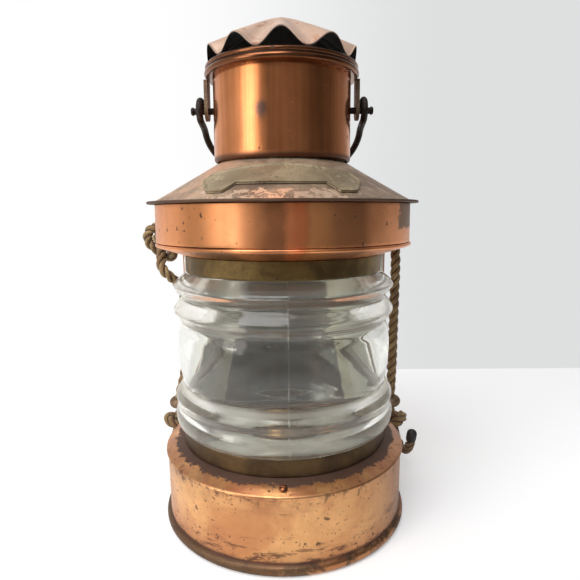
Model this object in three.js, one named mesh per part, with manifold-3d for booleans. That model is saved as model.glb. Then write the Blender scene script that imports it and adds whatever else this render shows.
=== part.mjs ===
// Masthead lantern: a copper base, a ribbed barrel lens, a copper canopy and chimney, and a rope.
// Millimetres, +Z up. The origin is the middle of the underside, and the lantern's front faces -Y.
import * as THREE from 'three';
import { mergeVertices } from 'three/addons/utils/BufferGeometryUtils.js';
import Module from 'manifold-3d';

const wasm = await Module();
wasm.setup();

// Counts and angles
const turnSteps = 36;
const degree = Math.PI / 180;

// Clearances and sheet metal
const seatGap = 0.3;
const cutOverrun = 2;
const sheet = 0.9;

// Base shell with its wired foot, waist bead and shoulder
const baseRadius = 65;
const baseHeight = 40;
const footBeadRadius = 2.9;
const footBeadReach = 2;
const waistBeadRadius = 1.35;
const waistBeadReach = 1;
const shoulderRise = 3.5;
const shoulderWidth = 9;
const shoulderLap = 6.5;
const shoulderScrewRadius = 1.9;
const shoulderScrewRise = 1.1;
const shoulderScrewInset = 3.4;

// Oil font with its bayonet lock
const fontInset = 4.1;
const fontHeight = 33;
const fontEdge = 1;
const fontCrown = 2.2;
const fontNeckRadius = 16;
const fontNeckWall = 3;
const fontNeckHeight = 4;
const bayonetClearance = 0.5;
const bayonetRingBottom = 1.5;
const bayonetRingHeight = 3.2;
const bayonetCount = 3;
const bayonetNotchAngle = 20;
const bayonetLugAngle = 13;
const bayonetTurn = 30;
const bayonetLugHeight = 2.4;

// Flat-wick burner
const burnerFlangeRadius = 18.5;
const burnerFlangeHeight = 1.8;
const burnerRadius = 14;
const burnerHeight = 5.4;
const burnerPlugDepth = 3.2;
const galleryRadius = 19.5;
const gallerySheet = 0.9;
const galleryClearance = 0.5;
const galleryHoleRadius = 1.4;
const galleryHoleCount = 12;
const domeRadius = 12.6;
const domeHeight = 10;
const domeSheet = 0.8;
const domeSlotWidth = 3.6;
const wickTubeWall = 0.9;
const wickTubeRise = 7;
const wickWidth = 12;
const wickThickness = 1.6;
const wickClearance = 0.4;
const wickProud = 1.6;
const wickFloorGap = 5;
const starWheelRadius = 2.2;
const starWheelWidth = 1.4;
const starWheelSpread = 3.4;
const starWheelTeeth = 10;
const spindleRadius = 0.9;
const spindleReach = 25;
const knobRadius = 5.4;
const knobWidth = 3.2;
const knobTeeth = 16;

// Brass glass rings and their gaskets
const lowerRingHeight = 9.1;
const upperRingHeight = 9;
const ringSheet = 1;
const ringFlange = 5.4;
const gasketThickness = 1.5;

// Barrel lens: the outer outline runs from the foot to the top, as shares of its radius and height
const lensShieldGap = 2.5;
const lensNeckInset = 7.8;
const lensBarrelHeight = 81.6;
const lensFootWall = 3.5;
const lensNeckWall = 3;
const lensOutlineShares = [
  [0.96, 0], [0.987, 0.022], [1, 0.076], [0.977, 0.14], [0.992, 0.197], [0.96, 0.243],
  [0.932, 0.286], [0.95, 0.386], [0.96, 0.51], [0.948, 0.625], [0.927, 0.684], [0.957, 0.724],
  [0.987, 0.76], [0.96, 0.801], [0.918, 0.847], [0.957, 0.887], [0.983, 0.918], [0.957, 0.949],
  [0.873, 1],
];
const lensBoreShare = 0.867;
const lensBoreTopShare = 0.9;
const lensBoreFootShare = 0.06;

// Rear shield, open over the forward 225 degrees
const shieldInset = 1.6;
const shieldHalfAngle = 67.5;
const shieldEdgeRadius = 1.5;
const shieldSteps = 26;

// Canopy: floor plate, drum and conical roof
const floorLap = 4.7;
const floorFlatReach = 0.8;
const floorRise = 4.2;
const floorBeadRadius = 0.9;
const floorBeadReach = 0.6;
const drumRadius = 66.8;
const drumHeight = 18.9;
const roofOverhang = 0.6;
const brimReach = 3.2;
const brimBeadRadius = 0.65;
const roofRise = 19;
const roofNeckHeight = 5;
const roofNeckInset = 1.8;
const roofDepth = 1.08;

// Bare banner plate on the front of the roof
const bannerThickness = 1.2;
const bannerHalfAngle = 41;
const bannerTopShare = 0.1569;
const bannerTopEndShare = 0.3877;
const bannerPanelShare = 0.6431;
const bannerTailFallShare = 0.8462;
const bannerEndShare = 0.5877;
const bannerFoldShare = 0.5;
const bannerTailShare = 0.58;
const bannerHeelShare = 0.76;
const bannerSteps = 26;

// Chimney, its double-beaded collar and the fluted crown
const chimneyRadius = 34.9;
const chimneyHeight = 47.6;
const chimneyCurlRadius = 1.6;
const collarReach = 4.8;
const collarWall = 0.9;
const collarLowerBead = 1.8;
const collarUpperBead = 1.15;
const crownInset = 1.4;
const crownHeight = 23.7;
const crownWaveHeight = 7.3;
const crownWaves = 10;
const crownWaveSteps = 6;
const crownRings = 6;
const crownSheet = 0.7;
const crownPower = 1.25;
const crownFlutePower = 2;

// Ears, pivot pins and the wire bail
const earThickness = 1.8;
const earGap = 3.1;
const earWidth = 10;
const earDrop = 14.7;
const pinRadius = 1.65;
const pinReach = 12.5;
const pinHeadRadius = 2.1;
const pinHeadLength = 1.4;
const bailWireRadius = 1.8;
const bailLoopRadius = 5.2;
const bailEarGap = 0.7;
const bailLoopShares = [
  [48, 1], [90, 1], [135, 1], [180, 1], [225, 1], [270, 1], [312, 1.05], [342, 1.5], [356, 2.2], [360, 2.85],
];
const bailLegLength = 16;
const bailSides = 8;
const bailBowSteps = 22;
const bailLoopSteps = 18;

// Rope and the guides that hold it
const ropeRadius = 3;
const ropeSides = 8;
const ropeGuideClearance = 0.5;
const ropeGuideWall = 2.8;
const ropeGuideHeight = 6.2;
const ropeGuideMiddle = 49;
const ropeGuideSteps = 16;
const rearGuideAngle = 38;
const rearGuideHeight = 5;
const rearGuideWall = 1.6;
const backRunPast = 4;
const backRunStep = 7;
const ropeSamples = 4000;
const ropeBendStep = 26;
const ropeSag = 0.1;
const whippingLength = 7;
const whippingSkin = 0.2;

// Sizes and places worked out from the sizes above
const fontRadius = baseRadius - sheet - fontInset;
const lowerRingRadius = baseRadius - shoulderWidth;
const shoulderOpening = lowerRingRadius - shoulderLap;
const shieldRadius = baseRadius - shieldInset;
const lensRadius = shieldRadius - sheet - lensShieldGap;
const upperRingRadius = lensRadius - lensNeckInset;
const floorInnerRadius = upperRingRadius - floorLap;
const floorFlatRadius = upperRingRadius + floorFlatReach;
const roofFootRadius = drumRadius + roofOverhang;
const brimRadius = roofFootRadius + brimReach;
const collarRadius = chimneyRadius + collarReach;
const crownRadius = collarRadius - crownInset;
const onRoofShare = (share) => chimneyRadius + share * (roofFootRadius - chimneyRadius);
const bannerTopRadius = onRoofShare(bannerTopShare);
const bannerTopEndRadius = onRoofShare(bannerTopEndShare);
const bannerPanelRadius = onRoofShare(bannerPanelShare);
const bannerTailRadius = onRoofShare(bannerTailFallShare);
const bannerEndRadius = onRoofShare(bannerEndShare);
const shoulderTop = baseHeight + shoulderRise;
const lowerRingBottom = shoulderTop + seatGap;
const lowerRingTop = lowerRingBottom + lowerRingHeight;
const lensBottom = lowerRingTop + seatGap;
const lensTop = lensBottom + lensBarrelHeight;
const upperRingBottom = lensTop + seatGap;
const upperRingTop = upperRingBottom + upperRingHeight;
const floorBottom = upperRingTop + seatGap;
const drumBottom = floorBottom + floorRise + sheet + floorBeadRadius + seatGap;
const drumTop = drumBottom + drumHeight;
const roofFoot = drumTop + seatGap + sheet;
const roofTop = roofFoot + roofRise;
const roofSlope = roofRise / (roofFootRadius - chimneyRadius);
const chimneyBottom = roofTop + chimneyCurlRadius * roofSlope + seatGap;
const chimneyTop = chimneyBottom + chimneyHeight;
const collarBottom = chimneyTop - 2 * (collarLowerBead + collarUpperBead);
const crownEdge = chimneyTop + seatGap;
const pivotHeight = collarBottom - seatGap - earDrop;
const shoulderSlope = shoulderRise / (baseRadius - lowerRingRadius);
const fontTop = fontHeight + fontCrown;
const fontNeckTop = fontTop + fontNeckHeight;
const burnerBottom = fontNeckTop + seatGap;
const burnerTop = burnerBottom + burnerFlangeHeight + burnerHeight;
const wickTop = burnerTop + wickTubeRise + wickProud;
const spindleHeight = burnerBottom + burnerFlangeHeight + burnerHeight / 2 - wickClearance;
const spindleOffset = wickThickness / 2 + seatGap + starWheelRadius;

// Materials, one for each finish
const finish = (color, roughness, metalness, extra = {}) =>
  new THREE.MeshStandardMaterial({ color, roughness, metalness, ...extra });
const copper = finish(0xc4713f, 0.35, 1);
const darkCopper = finish(0x6e4a3a, 0.5, 1);
const olivebrass = finish(0x7a6432, 0.45, 1);
const brass = finish(0xb08a45, 0.35, 1);
const iron = finish(0x2e2926, 0.6, 0.8);
const tinplate = finish(0x8d8a84, 0.4, 1);
const glass = finish(0xdfe6da, 0.05, 0, { transparent: true, opacity: 0.35 });
const cork = finish(0x8a6a48, 0.9, 0);
const cotton = finish(0xd8cfb8, 0.95, 0);
const hemp = finish(0xb08a52, 0.9, 0);
const tape = finish(0x1e1c1c, 0.6, 0);

const lantern = new THREE.Group();

// A point of a turned outline: its distance from the axis and its height.
const at = (radius, height) => new THREE.Vector2(radius, height);

// Points along an arc of an outline, from one angle to another in degrees.
function arc(centre, radius, from, to, steps) {
  return Array.from({ length: steps + 1 }, (_, i) => {
    const angle = (from + ((to - from) * i) / steps) * degree;
    return at(centre.x + radius * Math.cos(angle), centre.y + radius * Math.sin(angle));
  });
}

// The volume inside a closed mesh, negative when its faces point in.
function signedVolume(geometry) {
  const { position } = geometry.attributes;
  const corner = (k) => new THREE.Vector3().fromBufferAttribute(position, geometry.index.getX(k));
  let total = 0;
  for (let k = 0; k < geometry.index.count; k += 3) {
    total += corner(k).dot(corner(k + 1).cross(corner(k + 2))) / 6;
  }
  return total;
}

// One closed mesh with shared corners and its faces pointing out.
function welded(geometry) {
  const bare = geometry.index ? geometry.clone() : mergeVertices(geometry);
  bare.deleteAttribute('normal');
  bare.deleteAttribute('uv');
  const merged = mergeVertices(bare);
  const { position } = merged.attributes;
  const key = (i) => [position.getX(i), position.getY(i), position.getZ(i)].join();
  const faces = [];
  for (let k = 0; k < merged.index.count; k += 3) {
    const face = [0, 1, 2].map((j) => merged.index.getX(k + j));
    if (new Set(face.map(key)).size === face.length) faces.push(...face);
  }
  merged.setIndex(faces);
  if (signedVolume(merged) < 0) {
    for (let k = 0; k < faces.length; k += 3) [faces[k], faces[k + 1]] = [faces[k + 1], faces[k]];
    merged.setIndex(faces);
  }
  return merged;
}

function toSolid(geometry) {
  const closed = welded(geometry);
  const mesh = new wasm.Mesh({
    numProp: 3,
    vertProperties: new Float32Array(closed.attributes.position.array),
    triVerts: new Uint32Array(closed.index.array),
  });
  return new wasm.Manifold(mesh);
}

function fromSolid(solid) {
  const mesh = solid.getMesh();
  const geometry = new THREE.BufferGeometry();
  geometry.setAttribute('position', new THREE.BufferAttribute(new Float32Array(mesh.vertProperties), 3));
  geometry.setIndex([...mesh.triVerts]);
  return geometry;
}

const join = (first, ...others) => others.reduce((sum, other) => sum.add(toSolid(other)), toSolid(first));
const cut = (solid, ...tools) => tools.reduce((rest, tool) => rest.subtract(toSolid(tool)), solid);

// A solid of revolution about the vertical axis, closed back on its first point unless it ends on the axis.
function turned(outline, steps = turnSteps) {
  const onAxis = outline[0].x === 0;
  const profile = onAxis ? outline : [...outline, outline[0]];
  return new THREE.LatheGeometry(profile, steps).rotateX(Math.PI / 2);
}

function extruded(shape, depth, curveSegments = 12) {
  return new THREE.ExtrudeGeometry(shape, { depth, bevelEnabled: false, steps: 1, curveSegments });
}

// A block given by its middle and its size.
function block(middle, size) {
  return new THREE.BoxGeometry(...size).translate(...middle);
}

// A round bar along X, from one place to another.
function barAlongX(from, to, radius, y, z, sides = 16) {
  return new THREE.CylinderGeometry(radius, radius, to - from, sides)
    .rotateZ(Math.PI / 2)
    .translate((from + to) / 2, y, z);
}

// A round tube along a list of points, with flat ends, its rings turned as little as the path allows.
function tube(points, radius, sides) {
  const last = points.length - 1;
  const along = points.map((_, i) =>
    points[Math.min(i + 1, last)].clone().sub(points[Math.max(i - 1, 0)]).normalize());
  const level = Math.abs(along[0].z) < Math.SQRT1_2 ? new THREE.Vector3(0, 0, 1) : new THREE.Vector3(1, 0, 0);
  let side = level.sub(along[0].clone().multiplyScalar(level.dot(along[0]))).normalize();
  const corners = [];
  points.forEach((middle, i) => {
    if (i > 0) {
      side.applyQuaternion(new THREE.Quaternion().setFromUnitVectors(along[i - 1], along[i]));
      side = side.sub(along[i].clone().multiplyScalar(side.dot(along[i]))).normalize();
    }
    const across = along[i].clone().cross(side);
    for (let k = 0; k < sides; k += 1) {
      const angle = (2 * Math.PI * k) / sides;
      corners.push(middle.clone()
        .addScaledVector(side, radius * Math.cos(angle))
        .addScaledVector(across, radius * Math.sin(angle)));
    }
  });
  const faces = [];
  for (let i = 0; i < last; i += 1) {
    for (let k = 0; k < sides; k += 1) {
      const a = i * sides + k;
      const b = i * sides + ((k + 1) % sides);
      faces.push(a, b, b + sides, a, b + sides, a + sides);
    }
  }
  for (let k = 1; k < sides - 1; k += 1) {
    const end = last * sides;
    faces.push(0, k + 1, k, end, end + k, end + k + 1);
  }
  const geometry = new THREE.BufferGeometry().setFromPoints(corners);
  geometry.setIndex(faces);
  return geometry;
}

// A closed sheet between two grids of points that share their numbering: grid[i][j] runs along and across.
function slab(top, bottom) {
  const rows = top.length;
  const columns = top[0].length;
  const corners = [...top.flat(), ...bottom.flat()];
  const under = rows * columns;
  const index = (i, j) => i * columns + j;
  const faces = [];
  const quad = (a, b, c, d) => faces.push(a, b, c, a, c, d);
  for (let i = 0; i < rows - 1; i += 1) {
    for (let j = 0; j < columns - 1; j += 1) {
      quad(index(i, j), index(i + 1, j), index(i + 1, j + 1), index(i, j + 1));
      quad(under + index(i, j), under + index(i, j + 1), under + index(i + 1, j + 1), under + index(i + 1, j));
    }
    quad(index(i, 0), under + index(i, 0), under + index(i + 1, 0), index(i + 1, 0));
    const edge = columns - 1;
    quad(index(i, edge), index(i + 1, edge), under + index(i + 1, edge), under + index(i, edge));
  }
  for (let j = 0; j < columns - 1; j += 1) {
    quad(index(0, j), index(0, j + 1), under + index(0, j + 1), under + index(0, j));
    const end = rows - 1;
    quad(index(end, j), under + index(end, j), under + index(end, j + 1), index(end, j + 1));
  }
  const geometry = new THREE.BufferGeometry().setFromPoints(corners);
  geometry.setIndex(faces);
  return geometry;
}

// Adds one named sub-part to the lantern.
function add(name, shape, material) {
  const geometry = shape instanceof THREE.BufferGeometry ? welded(shape) : fromSolid(shape);
  geometry.computeVertexNormals();
  const mesh = new THREE.Mesh(geometry, material);
  mesh.name = name;
  lantern.add(mesh);
}

const shoulderAt = (radius) => baseHeight + (baseRadius - radius) * shoulderSlope;
const roofAt = (radius) => roofTop - (radius - chimneyRadius) * roofSlope;

// Copper wall with a wired foot, a waist bead, and a sloping shoulder that ends in a flat glass seat.
function baseShell() {
  const foot = at(baseRadius + footBeadReach - footBeadRadius, footBeadRadius);
  const footEnd = Math.acos((baseRadius - foot.x) / footBeadRadius) / degree;
  const waist = at(baseRadius + waistBeadReach - waistBeadRadius, baseHeight - waistBeadRadius);
  const waistEnd = Math.acos((baseRadius - waist.x) / waistBeadRadius) / degree;
  const inner = baseRadius - sheet;
  return turned([
    at(inner, 0),
    ...arc(foot, footBeadRadius, -90, footEnd, 6),
    ...arc(waist, waistBeadRadius, -waistEnd, waistEnd, 4),
    at(lowerRingRadius, shoulderTop),
    at(shoulderOpening, shoulderTop),
    at(shoulderOpening, shoulderTop - sheet),
    at(lowerRingRadius, shoulderTop - sheet),
    at(inner, baseHeight - sheet),
  ]);
}

// Round-headed screw that shows at the front of the shoulder.
function shoulderScrew() {
  const place = baseRadius - shoulderScrewInset;
  const head = [at(0, 0), at(shoulderScrewRadius, 0),
    ...arc(at(0, 0), shoulderScrewRadius, 30, 60, 1).map((p) => at(p.x, (p.y * shoulderScrewRise) / shoulderScrewRadius)),
    at(0, shoulderScrewRise)];
  return turned(head, 12)
    .rotateX(Math.atan(shoulderSlope))
    .translate(0, -place, shoulderAt(place) + seatGap / Math.cos(Math.atan(shoulderSlope)));
}

// A sector of a turned ring, cut out by a wedge of the given half angle about each bayonet place.
function bayonetWedges(halfAngle, offset, inner, outer, bottom, top) {
  return Array.from({ length: bayonetCount }, (_, i) => {
    const middle = (offset + (360 * i) / bayonetCount) * degree;
    const span = halfAngle * degree;
    const shape = new THREE.Shape();
    shape.absarc(0, 0, outer, middle - span, middle + span, false);
    shape.absarc(0, 0, inner, middle + span, middle - span, true);
    shape.closePath();
    return extruded(shape, top - bottom, 4).translate(0, 0, bottom);
  });
}

const bayonetInner = fontRadius + bayonetClearance;
const bayonetOuter = baseRadius - sheet - seatGap;
const bayonetRingTop = bayonetRingBottom + bayonetRingHeight;

// Ring inside the foot with a notch for each lug of the font.
function bayonetRing() {
  const ring = turned([
    at(bayonetInner, bayonetRingBottom),
    at(bayonetOuter, bayonetRingBottom),
    at(bayonetOuter, bayonetRingTop),
    at(bayonetInner, bayonetRingTop),
  ]);
  const notches = bayonetWedges(bayonetNotchAngle / 2, -bayonetTurn, bayonetInner - cutOverrun,
    (bayonetInner + bayonetOuter) / 2 + sheet, bayonetRingBottom - cutOverrun, bayonetRingTop + cutOverrun);
  return cut(toSolid(ring), ...notches);
}

// Closed can for the oil with a crowned top, a threaded neck and three bayonet lugs.
function oilFont() {
  const mouth = fontNeckRadius - fontNeckWall;
  const can = turned([
    at(0, 0),
    at(fontRadius - fontEdge, 0),
    at(fontRadius, fontEdge),
    at(fontRadius, fontHeight - fontEdge),
    at(fontRadius - fontEdge, fontHeight),
    at(fontNeckRadius, fontTop),
    at(fontNeckRadius, fontNeckTop),
    at(mouth, fontNeckTop),
    at(mouth, fontTop - sheet),
    at(fontRadius - fontEdge - sheet, fontHeight - sheet),
    at(fontRadius - sheet, fontHeight - sheet - fontEdge),
    at(fontRadius - sheet, sheet),
    at(0, sheet),
  ]);
  const lugBottom = bayonetRingTop + seatGap;
  const lugs = bayonetWedges(bayonetLugAngle / 2, 0, fontRadius - sheet / 2,
    (bayonetInner + bayonetOuter) / 2 + sheet / 2, lugBottom, lugBottom + bayonetLugHeight);
  return join(can, ...lugs);
}

// Burner block with its screwed plug, wick tube, star-wheel pocket and spindle bore.
function burnerBody() {
  const plug = fontNeckRadius - fontNeckWall - seatGap;
  const waist = burnerBottom + burnerFlangeHeight;
  const turnedBody = turned([
    at(0, burnerBottom - burnerPlugDepth),
    at(plug, burnerBottom - burnerPlugDepth),
    at(plug, burnerBottom),
    at(burnerFlangeRadius, burnerBottom),
    at(burnerFlangeRadius, waist),
    at(burnerRadius, waist),
    at(burnerRadius, burnerTop),
    at(0, burnerTop),
  ], 32);
  const slot = [wickWidth + 2 * wickClearance, wickThickness + 2 * wickClearance];
  const wickTube = block([0, 0, burnerTop + (wickTubeRise - sheet) / 2],
    [slot[0] + 2 * wickTubeWall, slot[1] + 2 * wickTubeWall, wickTubeRise + sheet]);
  const wickWay = block([0, 0, burnerBottom + wickTubeRise / 2],
    [slot[0], slot[1], 2 * (burnerTop + wickTubeRise - burnerBottom + burnerPlugDepth)]);
  const pocketHalf = starWheelRadius + wickClearance;
  const pocketReach = starWheelSpread + starWheelWidth / 2 + wickClearance;
  const pocket = block([0, spindleOffset / 2 + pocketHalf / 2, spindleHeight],
    [2 * pocketReach, spindleOffset + pocketHalf, 2 * pocketHalf]);
  const bore = barAlongX(0, burnerRadius + cutOverrun, spindleRadius + seatGap, spindleOffset, spindleHeight);
  return cut(join(turnedBody, wickTube), wickWay, pocket, bore);
}

// Perforated air plate round the burner.
function burnerGallery() {
  const bottom = burnerTop + seatGap;
  const bore = Math.hypot(wickWidth / 2 + wickClearance + wickTubeWall, wickThickness / 2 + wickClearance + wickTubeWall);
  const disc = new THREE.Shape().absarc(0, 0, galleryRadius, 0, 2 * Math.PI, false);
  disc.holes.push(new THREE.Path().absarc(0, 0, bore + galleryClearance, 0, 2 * Math.PI, true));
  const ring = (domeRadius + galleryRadius) / 2;
  for (let i = 0; i < galleryHoleCount; i += 1) {
    const angle = (2 * Math.PI * i) / galleryHoleCount;
    disc.holes.push(new THREE.Path().absarc(ring * Math.cos(angle), ring * Math.sin(angle), galleryHoleRadius, 0, 2 * Math.PI, true));
  }
  return extruded(disc, gallerySheet, 8).translate(0, 0, bottom);
}

// Domed cap that shapes the flame, with a slot over the wick.
function burnerDome() {
  const bottom = burnerTop + gallerySheet + 2 * seatGap;
  const half = (radius, height, steps) => Array.from({ length: steps + 1 }, (_, i) => {
    const angle = (90 * i * degree) / steps;
    return at(radius * Math.cos(angle), bottom + height * Math.sin(angle));
  });
  const outer = half(domeRadius, domeHeight, 6);
  const inner = half(domeRadius - domeSheet, domeHeight - domeSheet, 6).reverse();
  outer.pop();
  inner.shift();
  const shell = turned([at(0, bottom + domeHeight - domeSheet), ...inner, ...outer, at(0, bottom + domeHeight)], 32);
  const slot = block([0, 0, bottom + domeHeight],
    [wickWidth + 2 * wickTubeWall, domeSlotWidth, 2 * domeHeight - 2 * domeSheet]);
  return cut(toSolid(shell), slot);
}

function wick() {
  const bottom = sheet + wickFloorGap;
  return block([0, 0, (bottom + wickTop) / 2], [wickWidth, wickThickness, wickTop - bottom]);
}

// Toothed wheel along X whose teeth are a tenth of its radius deep.
function toothedWheel(radius, width, teeth, middle) {
  const shape = new THREE.Shape();
  const toothShare = 0.9;
  for (let i = 0; i < 2 * teeth; i += 1) {
    const angle = (Math.PI * i) / teeth;
    const reach = i % 2 ? radius : radius * toothShare;
    const corner = [reach * Math.cos(angle), reach * Math.sin(angle)];
    if (i) shape.lineTo(...corner);
    else shape.moveTo(...corner);
  }
  shape.closePath();
  return extruded(shape, width)
    .translate(0, 0, -width / 2)
    .rotateY(Math.PI / 2)
    .translate(middle, spindleOffset, spindleHeight);
}

// Shaft that carries the two star wheels inside the burner.
function wickSpindle() {
  const start = -starWheelSpread - starWheelWidth / 2;
  const shaft = barAlongX(start, spindleReach - knobWidth - seatGap, spindleRadius, spindleOffset, spindleHeight, 12);
  const wheels = [-1, 1].map((side) =>
    toothedWheel(starWheelRadius, starWheelWidth, starWheelTeeth, side * starWheelSpread));
  return join(shaft, ...wheels);
}

const wickKnob = () => toothedWheel(knobRadius, knobWidth, knobTeeth, spindleReach - knobWidth / 2);

// Brass ring with a flange that turns in under the glass.
function lowerGlassRing() {
  const inner = lowerRingRadius - ringSheet;
  return turned([
    at(lowerRingRadius - ringFlange, lowerRingBottom),
    at(lowerRingRadius, lowerRingBottom),
    at(lowerRingRadius, lowerRingTop),
    at(inner, lowerRingTop),
    at(inner, lowerRingBottom + ringSheet),
    at(lowerRingRadius - ringFlange, lowerRingBottom + ringSheet),
  ]);
}

// Brass ring with a flange that turns in over the glass.
function upperGlassRing() {
  const inner = upperRingRadius - ringSheet;
  return turned([
    at(inner, upperRingBottom),
    at(upperRingRadius, upperRingBottom),
    at(upperRingRadius, upperRingTop),
    at(upperRingRadius - ringFlange, upperRingTop),
    at(upperRingRadius - ringFlange, upperRingTop - ringSheet),
    at(inner, upperRingTop - ringSheet),
  ]);
}

const lensFootRadius = lowerRingRadius - ringSheet - seatGap;
const lensNeckRadius = upperRingRadius - ringSheet - seatGap;
const lensFootBottom = lowerRingBottom + ringSheet + gasketThickness + 2 * seatGap;
const lensNeckTop = upperRingTop - ringSheet - gasketThickness - 2 * seatGap;

// Flat ring of packing between a brass flange and the glass.
function gasket(bottom, glassRadius, wall) {
  return turned([
    at(glassRadius - wall, bottom),
    at(glassRadius, bottom),
    at(glassRadius, bottom + gasketThickness),
    at(glassRadius - wall, bottom + gasketThickness),
  ]);
}

// Clear barrel with two pairs of outer ribs, a plain bore, and a neck and foot that enter the rings.
function glassLens() {
  const bore = lensRadius * lensBoreShare;
  return turned([
    at(lensFootRadius - lensFootWall, lensFootBottom),
    at(lensFootRadius, lensFootBottom),
    at(lensFootRadius, lensBottom),
    ...lensOutlineShares.map(([r, h]) => at(lensRadius * r, lensBottom + lensBarrelHeight * h)),
    at(lensNeckRadius, lensTop),
    at(lensNeckRadius, lensNeckTop),
    at(lensNeckRadius - lensNeckWall, lensNeckTop),
    at(lensNeckRadius - lensNeckWall, lensTop),
    at(bore, lensBottom + lensBarrelHeight * lensBoreTopShare),
    at(bore, lensBottom + lensBarrelHeight * lensBoreFootShare),
    at(lensFootRadius - lensFootWall, lensBottom),
  ]);
}

const floorAt = (radius) =>
  floorBottom + (Math.max(radius - floorFlatRadius, 0) * floorRise) / (drumRadius - floorFlatRadius);
const shieldMiddle = shieldRadius - sheet / 2;
const shieldInside = shieldMiddle - shieldEdgeRadius;
const shieldBottom = shoulderAt(shieldInside) + seatGap;
const shieldTop = floorAt(shieldInside) - seatGap;

// Rear sheet between the shoulder and the canopy, with a wired edge down each side.
function backShield() {
  const outline = [];
  const polar = (radius, angle) => [radius * Math.cos(angle), radius * Math.sin(angle)];
  const from = (90 - shieldHalfAngle) * degree;
  const to = (90 + shieldHalfAngle) * degree;
  const edgeAngle = Math.asin(sheet / 2 / shieldEdgeRadius);
  const roll = (middle, start) => {
    const [x, y] = polar(shieldMiddle, middle);
    const steps = 8;
    for (let i = 0; i <= steps; i += 1) {
      const angle = start + edgeAngle + ((2 * Math.PI - 2 * edgeAngle) * i) / steps;
      outline.push([x + shieldEdgeRadius * Math.cos(angle), y + shieldEdgeRadius * Math.sin(angle)]);
    }
  };
  const clear = Math.asin((shieldEdgeRadius * Math.cos(edgeAngle)) / shieldMiddle);
  const sweep = (radius, start, end) => {
    for (let i = 1; i < shieldSteps; i += 1) outline.push(polar(radius, start + ((end - start) * i) / shieldSteps));
  };
  sweep(shieldRadius, from + clear, to - clear);
  roll(to, to - Math.PI / 2);
  sweep(shieldRadius - sheet, to - clear, from + clear);
  roll(from, from + Math.PI / 2);
  const shape = new THREE.Shape(outline.map(([x, y]) => new THREE.Vector2(x, y)));
  return extruded(shape, shieldTop - shieldBottom).translate(0, 0, shieldBottom);
}

// Plate that closes the canopy from below round the glass ring, with a rolled outer edge.
function canopyFloor() {
  const edge = at(drumRadius + floorBeadReach - floorBeadRadius, floorAt(drumRadius) + sheet);
  return turned([
    at(floorInnerRadius, floorBottom),
    at(floorFlatRadius, floorBottom),
    at(edge.x - floorBeadRadius, floorAt(edge.x - floorBeadRadius)),
    ...arc(edge, floorBeadRadius, -90, 90, 4),
    at(edge.x - floorBeadRadius, floorAt(edge.x - floorBeadRadius) + sheet),
    at(floorFlatRadius, floorBottom + sheet),
    at(floorInnerRadius, floorBottom + sheet),
  ]);
}

function canopyDrum() {
  return turned([
    at(drumRadius - sheet, drumBottom),
    at(drumRadius, drumBottom),
    at(drumRadius, drumTop),
    at(drumRadius - sheet, drumTop),
  ]);
}

// Cone with an overhanging wired brim below and a short neck that enters the chimney.
function canopyRoof() {
  const neck = chimneyRadius - sheet - roofNeckInset;
  const underside = roofFoot - sheet;
  const bead = at(brimRadius - brimBeadRadius, underside + brimBeadRadius);
  const throat = chimneyRadius - chimneyCurlRadius;
  return turned([
    at(roofFootRadius - 2 * sheet, underside),
    ...arc(bead, brimBeadRadius, -90, 90, 4),
    at(roofFootRadius, roofFoot),
    at(throat, roofAt(throat)),
    at(neck, roofAt(neck)),
    at(neck, roofAt(neck) + roofNeckHeight),
    at(neck - sheet, roofAt(neck) + roofNeckHeight),
    at(neck - sheet, roofAt(neck) - sheet),
    at(roofFootRadius - 2 * sheet, roofAt(roofFootRadius - 2 * sheet) - roofDepth),
  ]);
}

// A place on the roof: an angle from the front, a radius, and a height off the sheet.
function onRoof(angle, radius, height) {
  const tilt = Math.atan(roofSlope);
  const reach = radius + height * Math.sin(tilt);
  return new THREE.Vector3(reach * Math.sin(angle), -reach * Math.cos(angle), roofAt(radius) + height * Math.cos(tilt));
}

// Bare ribbon plate: an arched panel between two ends that fold down and back.
function bannerPlate() {
  const tail = (u) => {
    const reach = Math.abs(u);
    if (reach <= bannerFoldShare) return bannerPanelRadius;
    if (reach <= bannerTailShare) {
      const fall = (reach - bannerFoldShare) / (bannerTailShare - bannerFoldShare);
      return bannerPanelRadius + (bannerTailRadius - bannerPanelRadius) * fall;
    }
    const back = Math.max(0, (reach - bannerHeelShare) / (1 - bannerHeelShare));
    return bannerTailRadius + (bannerEndRadius - bannerTailRadius) * back;
  };
  const top = (u) => bannerTopRadius + (bannerTopEndRadius - bannerTopRadius) * u * u;
  const across = 3;
  const surface = (height) => Array.from({ length: bannerSteps + 1 }, (_, i) => {
    const u = (2 * i) / bannerSteps - 1;
    return Array.from({ length: across + 1 }, (_unused, j) => {
      const radius = top(u) + ((tail(u) - top(u)) * j) / across;
      return onRoof(u * bannerHalfAngle * degree, radius, height);
    });
  });
  return slab(surface(seatGap + bannerThickness), surface(seatGap));
}

// Tube whose foot curls in onto the roof.
function chimney() {
  const inner = chimneyRadius - sheet;
  const curl = at(chimneyRadius - chimneyCurlRadius, chimneyBottom + chimneyCurlRadius);
  return turned([
    ...arc(curl, chimneyCurlRadius, -90, 0, 3),
    at(chimneyRadius, chimneyTop),
    at(inner, chimneyTop),
    ...arc(curl, chimneyCurlRadius - sheet, 0, -90, 3),
  ]);
}

// Collar round the chimney's top: two half-round beads, with a flat inner face.
function chimneyCollar() {
  const lower = at(collarRadius - collarLowerBead, collarBottom + collarLowerBead);
  const upper = at(collarRadius - collarUpperBead - collarWall / 2, chimneyTop - collarUpperBead);
  const bore = chimneyRadius + seatGap;
  return turned([
    at(bore, collarBottom),
    ...arc(lower, collarLowerBead, -90, 60, 5),
    ...arc(upper, collarUpperBead, -60, 90, 4),
    at(bore, chimneyTop),
  ]);
}

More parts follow.
